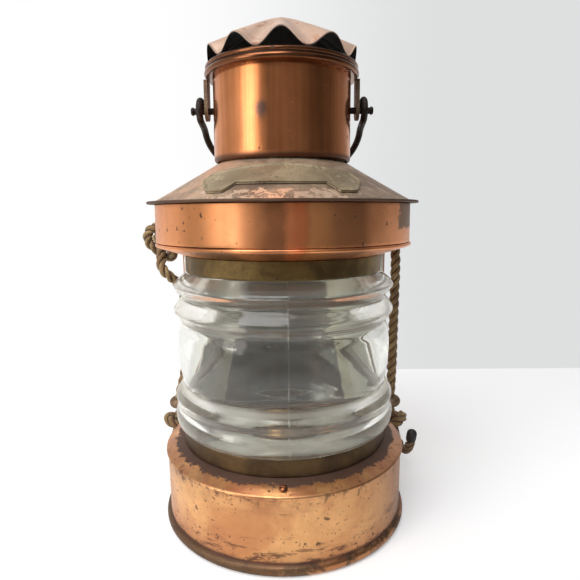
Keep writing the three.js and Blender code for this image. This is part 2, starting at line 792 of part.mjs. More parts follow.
// Fluted dome: its waves grow from nothing at the middle to arches round the edge.
function crownCap() {
  const around = crownWaves * crownWaveSteps;
  const rim = crownEdge + crownWaveHeight / 2;
  const apex = crownEdge + crownHeight;
  const height = (share, angle) => apex - (apex - rim) * share ** crownPower
    + (crownWaveHeight / 2) * share ** crownFlutePower * Math.cos(crownWaves * angle);
  const surface = (lift) => {
    const ring = (share) => Array.from({ length: around }, (_, k) => {
      const angle = (2 * Math.PI * k) / around - Math.PI / 2;
      const wave = height(share, angle + Math.PI / 2);
      return new THREE.Vector3(crownRadius * share * Math.cos(angle), crownRadius * share * Math.sin(angle), wave + lift);
    });
    const middle = new THREE.Vector3(0, 0, apex + lift);
    return [middle, ...Array.from({ length: crownRings }, (_, i) => ring((i + 1) / crownRings)).flat()];
  };
  const corners = [...surface(crownSheet), ...surface(0)];
  const under = corners.length / 2;
  const index = (i, k) => 1 + i * around + (k % around);
  const faces = [];
  for (let k = 0; k < around; k += 1) {
    faces.push(0, index(0, k), index(0, k + 1), under, under + index(0, k + 1), under + index(0, k));
    for (let i = 0; i < crownRings - 1; i += 1) {
      const [a, b, c, d] = [index(i, k), index(i + 1, k), index(i + 1, k + 1), index(i, k + 1)];
      faces.push(a, b, c, a, c, d, under + a, under + c, under + b, under + a, under + d, under + c);
    }
    const [a, b] = [index(crownRings - 1, k), index(crownRings - 1, k + 1)];
    faces.push(a, under + a, under + b, a, under + b, b);
  }
  const geometry = new THREE.BufferGeometry().setFromPoints(corners);
  geometry.setIndex(faces);
  return geometry;
}

const earInside = chimneyRadius + earGap;
const bailPlace = earInside + earThickness + bailEarGap + bailWireRadius;

// Tab that hangs from the collar and holds one pivot pin.
function ear(side) {
  const half = earWidth / 2;
  const top = collarBottom - seatGap - pivotHeight;
  const shape = new THREE.Shape();
  shape.moveTo(-half, top);
  shape.lineTo(-half, 0);
  shape.absarc(0, 0, half, Math.PI, 2 * Math.PI, false);
  shape.lineTo(half, top);
  shape.closePath();
  shape.holes.push(new THREE.Path().absarc(0, 0, pinRadius + seatGap, 0, 2 * Math.PI, true));
  const start = side > 0 ? earInside : -earInside - earThickness;
  return extruded(shape, earThickness, 8)
    .rotateX(Math.PI / 2)
    .rotateZ(Math.PI / 2)
    .translate(start, 0, pivotHeight);
}

// Headed pin from the chimney wall out through the ear and the bail's loop.
function pivotPin(side) {
  const start = chimneyRadius + seatGap;
  const end = chimneyRadius + pinReach;
  const pin = [at(0, start), at(pinRadius, start), at(pinRadius, end - pinHeadLength),
    at(pinHeadRadius, end - pinHeadLength), at(pinHeadRadius, end - pinHeadLength / 2),
    at(pinRadius, end), at(0, end)];
  return turned(pin, 16)
    .rotateY((side * Math.PI) / 2)
    .translate(0, 0, pivotHeight);
}

// The angle below the horizontal at which the bail's bow comes to lie on the roof.
function bailRestAngle() {
  const reach = bailLegLength + bailPlace;
  const tilt = Math.atan(roofSlope);
  const clear = (angle) => {
    const radius = reach * Math.cos(angle);
    const height = pivotHeight - reach * Math.sin(angle);
    return (height - roofAt(radius)) * Math.cos(tilt) - bailWireRadius - seatGap;
  };
  let low = 0;
  let high = Math.PI / 2 - tilt;
  for (let i = 0; i < 40; i += 1) {
    const middle = (low + high) / 2;
    if (clear(middle) > 0) low = middle;
    else high = middle;
  }
  return low;
}

// One wire bent into a bow, with a loop at each end round its pin, lying back on the roof.
function bailHandle() {
  const side = [...bailLoopShares.map(([angle, share]) => at(
    bailLoopRadius * share * Math.cos(angle * degree), bailLoopRadius * share * Math.sin(angle * degree))),
  at(bailLegLength, 0)].map((p) => new THREE.Vector3(bailPlace, p.x, p.y));
  const leg = new THREE.CatmullRomCurve3(side, false, 'centripetal').getPoints(bailLoopSteps);
  const bow = Array.from({ length: bailBowSteps - 1 }, (_, i) => {
    const angle = (Math.PI * (i + 1)) / bailBowSteps;
    return new THREE.Vector3(bailPlace * Math.cos(angle), bailLegLength + bailPlace * Math.sin(angle), 0);
  });
  const mirrored = leg.map((p) => new THREE.Vector3(-p.x, p.y, p.z)).reverse();
  return tube([...leg, ...bow, ...mirrored], bailWireRadius, bailSides)
    .rotateX(-bailRestAngle())
    .translate(0, 0, pivotHeight);
}

// Rope places
const guideOuter = ropeRadius + ropeGuideClearance + ropeGuideWall;
const guideReach = shieldMiddle + shieldEdgeRadius + seatGap + guideOuter;
const guideAngle = (90 - shieldHalfAngle) * degree;
const guideX = guideReach * Math.cos(guideAngle);
const guideY = guideReach * Math.sin(guideAngle);

// Short barrel with a rounded outside that holds the rope beside the shield's edge.
function ropeGuide(side) {
  const bore = ropeRadius + ropeGuideClearance;
  const half = ropeGuideHeight / 2;
  const belly = Array.from({ length: 7 }, (_, i) => {
    const angle = (-90 + 30 * i) * degree;
    return at(bore + ropeGuideWall * Math.cos(angle), half * Math.sin(angle));
  });
  return turned(belly, ropeGuideSteps).translate(side * guideX, guideY, ropeGuideMiddle);
}

const rearRopeReach = drumRadius + floorBeadReach + 2 * seatGap + ropeRadius;
const rearRopeHeight = drumBottom + rearGuideHeight;

// Staple on the drum's rear wall that the rope passes through.
function rearGuide(side) {
  const bore = ropeRadius + ropeGuideClearance;
  const half = bore + rearGuideWall;
  const inner = drumRadius + seatGap;
  const shape = new THREE.Shape();
  shape.moveTo(inner, -half);
  shape.lineTo(rearRopeReach, -half);
  shape.absarc(rearRopeReach, 0, half, -Math.PI / 2, Math.PI / 2, false);
  shape.lineTo(inner, half);
  shape.closePath();
  const hole = new THREE.Path();
  hole.moveTo(inner + seatGap, -bore);
  hole.lineTo(rearRopeReach, -bore);
  hole.absarc(rearRopeReach, 0, bore, -Math.PI / 2, Math.PI / 2, false);
  hole.lineTo(inner + seatGap, bore);
  hole.closePath();
  shape.holes.push(hole);
  return extruded(shape, half, 6)
    .translate(0, 0, -half / 2)
    .rotateX(Math.PI / 2)
    .rotateZ(Math.PI / 2 - side * rearGuideAngle * degree)
    .translate(0, 0, rearRopeHeight);
}

// The middle line of a tight overhand knot, about its own middle, with the rope's line on the third axis.
const knotPath = [
  [0, -0.1, -10], [-0.1, 0.2, -7.4], [0, 0.8, -5], [0.5, 2.3, -2.9], [0.6, 4.3, -1.4], [-0.3, 6, 0.3],
  [-1.8, 6.9, 2.1], [-3.6, 6.8, 4], [-5.2, 5.7, 5.7], [-6.4, 3.8, 7], [-7, 1.5, 7.8], [-6.8, -1.1, 7.9],
  [-5.8, -3.4, 7.5], [-4.3, -5.2, 6.5], [-2.4, -6.2, 5.1], [-0.4, -6.3, 3.5], [1.4, -5.4, 1.8], [3, -4.1, 0.3],
  [4.7, -2.9, -1.3], [6.2, -1.6, -2.9], [6.8, 0.2, -4.6], [6.5, 2.3, -6.2], [5.3, 4.3, -7.3], [3.4, 5.9, -7.9],
  [1, 6.8, -7.9], [-1.5, 7, -7.3], [-3.7, 6.5, -6.1], [-5.3, 5.3, -4.4], [-6, 3.8, -2.5], [-5.8, 2.1, -0.6],
  [-4.6, 0.7, 1.2], [-2.6, 0.2, 2.8], [-1, 0.4, 4.8], [-0.3, 0.4, 7.2], [-0.2, 0.3, 9.8], [0, 0.1, 12.4],
];

// The knot's path set at a place, with the rope running along one direction; a hand of -1 mirrors it.
function knot(middle, along, outward, hand) {
  const third = along.clone().normalize();
  const first = outward.clone().sub(third.clone().multiplyScalar(outward.dot(third))).normalize();
  const second = third.clone().cross(first).multiplyScalar(hand);
  return knotPath.map(([x, y, z]) => middle.clone()
    .addScaledVector(first, x)
    .addScaledVector(second, y)
    .addScaledVector(third, z));
}

// The rope's way, chosen by hand, from the lower right tail round the back to the lower left one.
const vector = (x, y, z) => new THREE.Vector3(x, y, z);
const run = (...places) => places.map((place) => vector(...place));
const rightTail = run([78.3, 22.6, 25.4], [78.4, 25.2, 20.9], [78.4, 28.8, 16.8], [78.2, 33.2, 13.5], [77.6, 38, 11.6],
  [76.5, 42.2, 11.8], [75.1, 44.8, 14.2], [73.6, 45, 18]);
const rightKnot = knot(vector(69.4, 36.1, 31.5), vector(0.25, 0.55, -0.8), vector(1, 0, 0), 1).reverse();
const inGuide = [-4.2, 0, 4.2].map((rise) => [guideX, guideY, ropeGuideMiddle + rise]);
const rightRise = run(...inGuide, [66, 27.2, 62], [66.3, 27, 80], [66.5, 27, 100], [66.7, 27, 118], [66.9, 27.2, 130],
  [67.1, 28.8, 140], [66.4, 33, 148.5], [62, 39.5, 154.6]);
const upperApproach = run([-54, 47.7, 156.2], [-61.5, 47, 157.8], [-68.5, 46.4, 159.6], [-74, 44.4, 160.4],
  [-76.7, 40.4, 158.6]);
const upperKnot = knot(vector(-74.5, 30, 147), vector(0.18, -0.62, -0.76), vector(-1, 0, 0), -1);
const leftFall = run([-71.8, 20.7, 134.9], [-69.9, 20.4, 131.4], [-67.2, 22.1, 128.3], [-64.8, 25.6, 124.8],
  [-62.7, 29.5, 119.6], [-61.2, 32.4, 112], [-60.4, 34, 102], [-60.4, 34.1, 90], [-61.4, 32.8, 76],
  [-63.4, 30.2, 64], ...inGuide.toReversed().map(([x, y, z]) => [-x, y, z]));
const leftKnot = knot(vector(-69.4, 36.1, 31.5), vector(-0.25, 0.55, -0.8), vector(-1, 0, 0), -1);
const leftTail = run([-73.8, 44.9, 18.5], [-75, 45.6, 14], [-75.6, 45, 9.5]);

// The rope's middle line, level round the back of the drum between the knots.
function ropeCurve() {
  const around = (angle) =>
    vector(rearRopeReach * Math.cos(angle * degree), rearRopeReach * Math.sin(angle * degree), rearRopeHeight);
  const sweep = rearGuideAngle + backRunPast;
  const steps = Math.round((2 * sweep) / backRunStep);
  const back = Array.from({ length: steps + 1 }, (_, i) => around(90 - sweep + (2 * sweep * i) / steps));
  return new THREE.CatmullRomCurve3([...rightTail, ...rightKnot, ...rightRise, ...back, ...upperApproach,
    ...upperKnot, ...leftFall, ...leftKnot, ...leftTail], false, 'centripetal');
}

// Points along the rope, closer together where it bends more.
function ropePoints() {
  const fine = ropeCurve().getPoints(ropeSamples);
  const direction = (i) => fine[Math.min(i + 1, ropeSamples)].clone().sub(fine[Math.max(i - 1, 0)]).normalize();
  const points = [fine[0]];
  let last = 0;
  for (let i = 1; i < ropeSamples; i += 1) {
    const bend = direction(last).angleTo(direction(i));
    const length = fine[i].distanceTo(fine[last]);
    const sag = (bend * length) / 8;
    if (bend > ropeBendStep * degree || sag > ropeSag) {
      points.push(fine[i]);
      last = i;
    }
  }
  return [...points, fine[ropeSamples]];
}

// Measures the rope between points a millimetre apart: its length, its tightest bend and its gap to itself.
function ropeMeasures() {
  const curve = ropeCurve();
  const length = curve.getLength();
  const points = curve.getSpacedPoints(Math.round(length));
  let bend = Infinity;
  let gap = Infinity;
  points.forEach((place, i) => {
    if (i > 0 && i < points.length - 1) {
      const before = place.clone().sub(points[i - 1]);
      const after = points[i + 1].clone().sub(place);
      bend = Math.min(bend, (before.length() + after.length()) / 2 / Math.max(before.angleTo(after), 1e-6));
    }
    for (let j = i + Math.ceil(2 * Math.PI * ropeRadius); j < points.length; j += 1) {
      gap = Math.min(gap, place.distanceTo(points[j]) - 2 * ropeRadius);
    }
  });
  return { length, bend, gap };
}

// Taped end that carries on from one end of the rope.
function whipping(end, before) {
  const out = end.clone().sub(before).normalize();
  const reach = [seatGap, whippingLength].map((length) => end.clone().addScaledVector(out, length));
  return tube(reach, ropeRadius + whippingSkin, 2 * ropeSides);
}

add('base_shell', baseShell(), copper);
add('shoulder_screw', shoulderScrew(), darkCopper);
add('bayonet_ring', bayonetRing(), brass);
add('oil_font', oilFont(), tinplate);
add('burner_body', burnerBody(), brass);
add('burner_gallery', burnerGallery(), brass);
add('burner_dome', burnerDome(), brass);
add('wick', wick(), cotton);
add('wick_spindle', wickSpindle(), brass);
add('wick_knob', wickKnob(), brass);
add('lower_glass_ring', lowerGlassRing(), olivebrass);
add('lower_gasket', gasket(lowerRingBottom + ringSheet + seatGap, lensFootRadius, lensFootWall), cork);
add('glass_lens', glassLens(), glass);
add('upper_gasket', gasket(lensNeckTop + seatGap, lensNeckRadius, lensNeckWall), cork);
add('upper_glass_ring', upperGlassRing(), olivebrass);
add('back_shield', backShield(), copper);
add('canopy_floor', canopyFloor(), copper);
add('canopy_drum', canopyDrum(), copper);
add('canopy_roof', canopyRoof(), darkCopper);
add('banner_plate', bannerPlate(), olivebrass);
add('chimney', chimney(), copper);
add('chimney_collar', chimneyCollar(), copper);
add('crown_cap', crownCap(), copper);
for (const [name, side] of [['left', -1], ['right', 1]]) {
  add(`ear_${name}`, ear(side), darkCopper);
  add(`pivot_pin_${name}`, pivotPin(side), iron);
  add(`rope_guide_lower_${name}`, ropeGuide(side), darkCopper);
  add(`rope_guide_rear_${name}`, rearGuide(side), darkCopper);
}
add('bail_handle', bailHandle(), iron);
const ropeLine = ropePoints();
add('rope', tube(ropeLine, ropeRadius, ropeSides), hemp);
add('rope_whipping', whipping(ropeLine[0], ropeLine[1]), tape);

const { length, bend, gap } = ropeMeasures();
console.log(`rope: ${length.toFixed(1)} mm long, tightest bend ${bend.toFixed(2)} mm, `
  + `least gap to itself ${gap.toFixed(2)} mm`);

export default lantern;
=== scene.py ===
"""Looks of a small copper masthead lantern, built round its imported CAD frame.

Sizes are in millimetres until a mesh is made. The frame's origin is the middle of the lantern's
underside, +Z is up and the lit front faces -Y.
"""

from __future__ import annotations

import logging
from dataclasses import dataclass, field
from enum import Enum
from functools import partial, reduce
from typing import Callable, Sequence

import bpy
import numpy as np
from mathutils import Matrix, Vector

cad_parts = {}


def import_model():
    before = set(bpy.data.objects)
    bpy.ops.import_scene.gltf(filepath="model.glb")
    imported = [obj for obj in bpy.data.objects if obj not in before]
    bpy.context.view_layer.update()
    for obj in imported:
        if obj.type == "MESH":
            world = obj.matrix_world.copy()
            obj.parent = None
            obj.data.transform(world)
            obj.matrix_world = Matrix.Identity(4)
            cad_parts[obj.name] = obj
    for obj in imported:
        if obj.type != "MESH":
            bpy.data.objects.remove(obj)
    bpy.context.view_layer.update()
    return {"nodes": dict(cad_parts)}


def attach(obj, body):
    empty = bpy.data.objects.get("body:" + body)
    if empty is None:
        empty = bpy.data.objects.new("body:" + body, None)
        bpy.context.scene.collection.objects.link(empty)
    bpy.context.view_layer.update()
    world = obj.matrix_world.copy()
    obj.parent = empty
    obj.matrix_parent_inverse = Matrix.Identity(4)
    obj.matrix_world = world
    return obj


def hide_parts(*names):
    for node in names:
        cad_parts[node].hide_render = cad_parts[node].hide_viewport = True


LOG = logging.getLogger("lantern")
MM = 0.001
FULL_TURN = 2 * np.pi
SIDES = (("left", -1), ("right", 1))
UNROLLED_RADIUS = 0.06
WHITE = (1.0, 1.0, 1.0, 1.0)
Array = np.ndarray
Faces = list[list[int]]
Socket = bpy.types.NodeSocket
Colour = tuple[float, float, float, float]


class Body(Enum):
    """The rigid bodies that the modelled pieces ride on."""

    LANTERN = "lantern"
    BAIL = "bail"


@dataclass(frozen=True)
class Heights:
    """Heights and radii that several pieces share."""

    base_top: float = 40.0
    shoulder_top: float = 43.5
    shoulder_inner: float = 56.0
    base_radius: float = 65.0
    lens_bottom: float = 53.2
    lens_span: float = 81.6
    roof_foot: float = 170.8
    roof_foot_radius: float = 67.4
    roof_top: float = 189.8
    chimney_radius: float = 34.9
    chimney_bottom: float = 191.035
    chimney_top: float = 238.635
    pivot: float = 217.735
    sheet: float = 0.9
    gap: float = 0.3

    @property
    def roof_slope(self) -> float:
        """Fall of the roof for each millimetre of radius."""
        return (self.roof_top - self.roof_foot) / (self.roof_foot_radius - self.chimney_radius)

    def roof_at(self, radius: Array | float) -> Array | float:
        """Height of the roof's outer face at a radius."""
        return self.roof_top - (radius - self.chimney_radius) * self.roof_slope

    def shoulder_at(self, radius: float) -> float:
        """Height of the base's shoulder at a radius."""
        fall = (self.shoulder_top - self.base_top) / (self.base_radius - self.shoulder_inner)
        return self.base_top + (self.base_radius - radius) * fall


H = Heights()


def around(steps: int) -> Array:
    """Even angles round a full turn, from nought on."""
    return np.linspace(0, FULL_TURN, steps, endpoint=False)


def arc(centre: Sequence[float], radius: float, start: float, end: float, steps: int) -> Array:
    """Points on a circular arc: the centre plus the radius times cosine and sine of the angle.

    Args:
        centre: Radius and height of the arc's centre.
        radius: Radius of the arc.
        start: First angle in degrees.
        end: Last angle in degrees.
        steps: Number of chords.

    Returns:
        An array of steps + 1 rows of radius and height.
    """
    angle = np.radians(np.linspace(start, end, steps + 1))
    return np.stack([centre[0] + radius * np.cos(angle), centre[1] + radius * np.sin(angle)], 1)


def catmull_rom(points: Array, samples: int) -> Array:
    """Centripetal Catmull-Rom curve through points, where each span's knots grow with the root of its length.

    Args:
        points: Rows of coordinates that the curve passes through.
        samples: Number of points returned for each span.

    Returns:
        Points along the curve, the last one included.
    """
    points = np.asarray(points, float)
    first = 2 * points[0] - points[1]
    last = 2 * points[-1] - points[-2]
    padded = np.vstack([first, points, last])
    x0, x1, x2, x3 = padded[:-3], padded[1:-2], padded[2:-1], padded[3:]
    span = [np.sqrt(np.linalg.norm(b - a, axis=1, keepdims=True)) for a, b in ((x0, x1), (x1, x2), (x2, x3))]
    d0, d1, d2 = span
    leave = ((x1 - x0) / d0 - (x2 - x0) / (d0 + d1) + (x2 - x1) / d1) * d1
    arrive = ((x2 - x1) / d1 - (x3 - x1) / (d1 + d2) + (x3 - x2) / d2) * d1
    t = (np.arange(samples) / samples)[None, :, None]
    a, b, m, n = (v[:, None, :] for v in (x1, x2, leave, arrive))
    curve = a + m * t + (3 * (b - a) - 2 * m - n) * t**2 + (2 * (a - b) + m + n) * t**3
    return np.vstack([curve.reshape(-1, points.shape[1]), points[-1:]])


def evenly(points: Array, step: float) -> Array:
    """Points along a polyline, spaced evenly by its length.

    Args:
        points: Rows of coordinates.
        step: Wanted way between two points.

    Returns:
        The evenly spaced points, from the first end to the last.
    """
    along = np.concatenate([[0], np.cumsum(np.linalg.norm(np.diff(points, axis=0), axis=1))])
    places = np.linspace(0, along[-1], max(2, round(along[-1] / step) + 1))
    return np.stack([np.interp(places, along, column) for column in points.T], 1)


def softened(outline: Array, radius: float, step: float, closed: bool = True) -> Array:
    """Outline whose corners are rounded by a quadratic curve and whose long edges are divided.

    Each corner C becomes (1-s)^2 A + 2s(1-s) C + s^2 B between points A and B on its two edges. A corner that
    turns by less than 8 degrees stays as it is.

    Args:
        outline: Rows of radius, height and an inside mark.
        radius: Distance from each corner at which the rounding starts.
        step: Longest edge that is left undivided.
        closed: Whether the outline closes on its first point.

    Returns:
        The rounded rows, with the marks carried along.
    """
    back, ahead = np.roll(outline, 1, 0) - outline, np.roll(outline, -1, 0) - outline
    to_before = np.linalg.norm(back[:, :2], axis=1, keepdims=True)
    to_after = np.linalg.norm(ahead[:, :2], axis=1, keepdims=True)
    cos_turn = np.sum(back[:, :2] * ahead[:, :2], 1, keepdims=True) / (to_before * to_after)
    sharp = np.select([cos_turn > -0.93, cos_turn > -0.99], [1.0, 0.25], 0.0)
    reach = sharp * np.minimum(radius, 0.45 * np.minimum(to_before, to_after))
    start = outline + back * reach / to_before
    end = outline + ahead * reach / to_after
    s = np.linspace(0, 1, 5)[None, :, None]
    rounded = (1 - s) ** 2 * start[:, None] + 2 * s * (1 - s) * outline[:, None] + s**2 * end[:, None]
    if not closed:
        rounded[0], rounded[-1] = outline[0], outline[-1]
    rows = rounded.reshape(-1, outline.shape[1])
    if closed:
        rows = np.vstack([rows, rows[:1]])
    length = np.linalg.norm(np.diff(rows[:, :2], axis=0), axis=1)
    rows = rows[np.concatenate([[True], length > 1e-6])]
    length = np.linalg.norm(np.diff(rows[:, :2], axis=0), axis=1)
    pieces = np.maximum(1, np.ceil(length / step).astype(int))
    index = np.repeat(np.arange(len(length)), pieces)
    share = (np.arange(pieces.sum()) - np.repeat(np.cumsum(pieces) - pieces, pieces)) / pieces[index]
    divided = rows[index] + (rows[index + 1] - rows[index]) * share[:, None]
    return divided if closed else np.vstack([divided, rows[-1:]])


def dents(angle: Array, height: Array, seed: int, depth: float) -> Array:
    """Slow radial unevenness: a sum of seeded sines that close round the axis.

    Args:
        angle: Angle round the axis in radians.
        height: Height in millimetres.
        seed: Seed of the waves.
        depth: Greatest offset in millimetres.

    Returns:
        Radial offsets, the same shape as the inputs.
    """
    rng = np.random.default_rng(seed)
    around = rng.integers(2, 15, 10)[:, None, None]
    upward = rng.uniform(-0.16, 0.16, 10)[:, None, None]
    phase = rng.uniform(0, FULL_TURN, 10)[:, None, None]
    weight = (rng.uniform(0.4, 1, 10) / np.sqrt(around[:, 0, 0]))[:, None, None]
    waves = weight * np.sin(around * angle[None] + upward * height[None] + phase)
    return depth * waves.sum(0) / weight.sum()


def lap_seam(angle: Array, centre: float, half_width: float, rise: float) -> Array:
    """Raised strip of a lapped seam: a plateau of the given rise with soft sides."""
    off = np.abs((angle - centre + np.pi) % FULL_TURN - np.pi)
    return rise / (1 + np.exp((off - half_width) / (half_width * 0.06)))


def mesh_object(name: str, points: Array, faces: Faces, material: bpy.types.Material,
                marks: dict[str, Array] | None = None) -> bpy.types.Object:
    """Makes an object from points in millimetres and faces, smooth, with its faces pointing out.

    Args:
        name: Name of the piece.
        points: Rows of x, y and z.
        faces: Vertex numbers of each face.
        material: The piece's finish.
        marks: Float attributes, one value for each point.

    Returns:
        The linked object.
    """
    mesh = bpy.data.meshes.new(name)
    mesh.from_pydata((points * MM).tolist(), [], faces)
    for label, values in (marks or {}).items():
        attribute = mesh.attributes.new(label, "FLOAT", "POINT")
        attribute.data.foreach_set("value", np.asarray(values, np.float32).ravel())
    mesh.materials.append(material)
    mesh.polygons.foreach_set("use_smooth", np.ones(len(mesh.polygons), bool))
    if signed_volume(mesh) < 0:
        mesh.flip_normals()
    mesh.update()
    piece = bpy.data.objects.new(name, mesh)
    bpy.context.scene.collection.objects.link(piece)
    return piece


def signed_volume(mesh: bpy.types.Mesh) -> float:
    """Volume inside a mesh: a sixth of the triple products of its triangles, negative when they face in.

    Args:
        mesh: A closed mesh.

    Returns:
        The volume.
    """
    mesh.calc_loop_triangles()
    co = np.zeros(len(mesh.vertices) * 3)
    mesh.vertices.foreach_get("co", co)
    index = np.zeros(len(mesh.loop_triangles) * 3, np.int32)
    mesh.loop_triangles.foreach_get("vertices", index)
    corner = co.reshape(-1, 3)[index.reshape(-1, 3)]
    return float(np.einsum("ij,ij->i", corner[:, 0], np.cross(corner[:, 1], corner[:, 2])).sum() / 6)


def grid_faces(rows: int, columns: int, wrap_rows: bool, wrap_columns: bool) -> Array:
    """Quads of a grid numbered row by row, closed on itself in either direction.

    Args:
        rows: Number of rows.
        columns: Number of columns.
        wrap_rows: Whether the last row joins the first.
        wrap_columns: Whether the last column joins the first.

    Returns:
        Rows of four vertex numbers.
    """
    i = np.arange(rows if wrap_rows else rows - 1)[:, None]
    j = np.arange(columns if wrap_columns else columns - 1)[None, :]
    down, right = (i + 1) % rows, (j + 1) % columns
    quads = [i * columns + j, i * columns + right, down * columns + right, down * columns + j]
    return np.stack([q.ravel() for q in quads], 1)


def fan(pole: int, ring: Array) -> Faces:
    """Triangles from a pole to each step of a closed ring, in the ring's order."""
    return np.stack([np.full(len(ring), pole), ring, np.roll(ring, -1)], 1).tolist()


def poled(points: Array, poles: Sequence[Sequence[float]], hand: int = 1) -> tuple[Array, Faces]:
    """Closes a grid that wraps over its rows with a fan from a pole to its first and to its last column.

    Args:
        points: Points of the grid, in rows and columns.
        poles: The pole of the first column and that of the last.
        hand: 1, or -1 for fans that run the other way round.

    Returns:
        All points as one list, and all faces.
    """
    rows, columns = points.shape[:2]
    rim = np.arange(rows) * columns
    faces = grid_faces(rows, columns, True, False).tolist()
    faces += fan(rows * columns, rim[::hand]) + fan(rows * columns + 1, (rim + columns - 1)[::-hand])
    return np.vstack([points.reshape(-1, 3), poles]), faces


def turned(name: str, outline: Array, material: bpy.types.Material, steps: int = 192,
           offset: Callable[[Array, Array], Array] | None = None,
           angles: Array | None = None) -> bpy.types.Object:
    """Ring of revolution of a closed outline: x = r sin(a), y = -r cos(a), z = h, with a at the front zero.

    Args:
        name: Name of the piece.
        outline: Rows of radius, height and inside mark.
        material: The piece's finish.
        steps: Number of steps round the axis.
        offset: Radial offset as a function of angle and height.
        angles: The angles themselves, where they aren't even.

    Returns:
        The linked object.
    """
    turn = around(steps) if angles is None else angles
    angle, radius = np.meshgrid(turn, outline[:, 0], indexing="ij")
    height = np.broadcast_to(outline[:, 1], radius.shape)
    if offset is not None:
        radius = radius + offset(angle, height)
    points = np.stack([radius * np.sin(angle), -radius * np.cos(angle), height], -1).reshape(-1, 3)
    inner = np.broadcast_to(outline[:, 2], radius.shape)
    return mesh_object(name, points, grid_faces(*radius.shape, True, True).tolist(), material,
                       {"inner": inner})


def turn_about_x(angle: float) -> Array:
    """Matrix that turns rows of points about the X axis, from +Y towards +Z."""
    return np.array([[1, 0, 0], [0, np.cos(angle), np.sin(angle)], [0, -np.sin(angle), np.cos(angle)]])


def two_sheets(sheet: Array, half: int, loop: Array) -> Faces:
    """Faces of a sheet, of its other side and of the wall between their edges.

    Args:
        sheet: Faces of the first sheet.
        half: Number of its points, after which those of the other side follow.
        loop: The sheet's edge, in the direction in which the wall's faces run along it.

    Returns:
        All faces.
    """
    follow = np.roll(loop, -1)
    wall = np.stack([loop, follow, follow + half, loop + half], 1)
    return np.vstack([sheet, sheet[:, ::-1] + half, wall]).tolist()


def outline_of(*parts: Array | Sequence[float]) -> Array:
    """Joins points and arcs to rows of radius, height and inside mark, which is 0 where none is given."""
    rows = [np.atleast_2d(np.asarray(part, float)) for part in parts]
    return np.vstack([np.pad(row, ((0, 0), (0, 3 - row.shape[1]))) for row in rows])


def marked(*points: Sequence[float]) -> Array:
    """Points of an outline that lie on the inside of a piece."""
    return np.array([[r, z, 1.0] for r, z in points])


def frames_along(path: Array) -> tuple[Array, Array, Array]:
    """Directions along a path and two directions across it that turn as little as the path allows.

    Each pair across is the last one reflected in the plane between two points, and then in the plane between
    the two tangents, which carries it along with no twist.

    Args:
        path: Rows of x, y and z.

    Returns:
        The tangents, the first and the second directions across.
    """
    tangent = np.gradient(path, axis=0)
    tangent /= np.linalg.norm(tangent, axis=1, keepdims=True)
    level = np.array([0, 0, 1.0]) if abs(tangent[0, 2]) < 0.7 else np.array([1.0, 0, 0])
    side = np.zeros_like(path)
    side[0] = level - level @ tangent[0] * tangent[0]
    side[0] /= np.linalg.norm(side[0])
    for i in range(len(path) - 1):
        step = path[i + 1] - path[i]
        size = step @ step
        carried = side[i] - 2 / size * (step @ side[i]) * step
        ahead = tangent[i] - 2 / size * (step @ tangent[i]) * step
        turn = tangent[i + 1] - ahead
        size = turn @ turn
        side[i + 1] = carried - (2 / size * (turn @ carried) * turn if size > 1e-12 else 0)
    return tangent, side, np.cross(tangent, side)


def swept(name: str, path: Array, radius: Array, material: bpy.types.Material, phase: Array | None = None,
          cap: float = 0.35, marks: dict[str, Array] | None = None) -> bpy.types.Object:
    """Tube along a path with rounded ends: each point is the path plus r(s, a) (cos(a + p) n + sin(a + p) b).

    Args:
        name: Name of the piece.
        path: Rows of x, y and z along the middle.
        radius: Radius for each place along and each angle.
        material: The piece's finish.
        phase: Turn of the section at each place.
        cap: Share of the radius at the last ring, before the end's pole.
        marks: Float attributes of the same shape as the radius.

    Returns:
        The linked object, whose attribute along is the way along the path in metres.
    """
    tangent, side, across = frames_along(path)
    rows, columns = radius.shape
    angle = around(columns)[None, :]
    turn = angle + (0 if phase is None else phase[:, None])
    ring = np.cos(turn)[..., None] * side[:, None] + np.sin(turn)[..., None] * across[:, None]
    body = path[:, None] + radius[..., None] * ring
    thick = radius.mean()
    ends = []
    for end, sign in ((0, -1), (-1, 1)):
        lift = path[end] + sign * tangent[end] * thick * cap * 0.5
        ends.append(lift[None] + radius[end][:, None] * (1 - cap * 0.5) * ring[end])
    grid = np.concatenate([ends[0][None], body, ends[1][None]])
    poles = np.stack([path[0] - tangent[0] * thick * cap * 0.62, path[-1] + tangent[-1] * thick * cap * 0.62])
    points = np.vstack([grid.reshape(-1, 3), poles])
    count = rows + 2
    rim = np.arange(columns)
    faces = grid_faces(count, columns, False, True).tolist()
    faces += fan(count * columns, rim[::-1]) + fan(count * columns + 1, rim + (count - 1) * columns)
    full = {}
    for key, value in (marks or {}).items():
        grown = np.concatenate([value[:1], value, value[-1:]]).ravel()
        full[key] = np.concatenate([grown, [grown[0], grown[-1]]])
    along = np.concatenate([[0], np.cumsum(np.linalg.norm(np.diff(path, axis=0), axis=1))])
    along = np.concatenate([along[:1], along, along[-1:]])
    full["along"] = np.concatenate([np.repeat(along, columns), [0, along[-1]]]) * MM
    return mesh_object(name, points, faces, material, full)


def prism(name: str, outline: Array, bottom: float, top: float, material: bpy.types.Material,
          levels: int = 12) -> bpy.types.Object:
    """Upright prism over a closed outline, its walls divided in height and its ends flat.

    Args:
        name: Name of the piece.
        outline: Rows of x and y.
        bottom: Height of the lower end.
        top: Height of the upper end.
        material: The piece's finish.
        levels: Number of rings of points.

    Returns:
        The linked object.
    """
    heights = np.linspace(bottom, top, levels)
    count = len(outline)
    points = np.concatenate([np.hstack([outline, np.full((count, 1), z)]) for z in heights])
    faces = grid_faces(levels, count, False, True).tolist()
    faces.append(list(range(count - 1, -1, -1)))
    faces.append(list(range((levels - 1) * count, levels * count)))
    return mesh_object(name, points, faces, material)


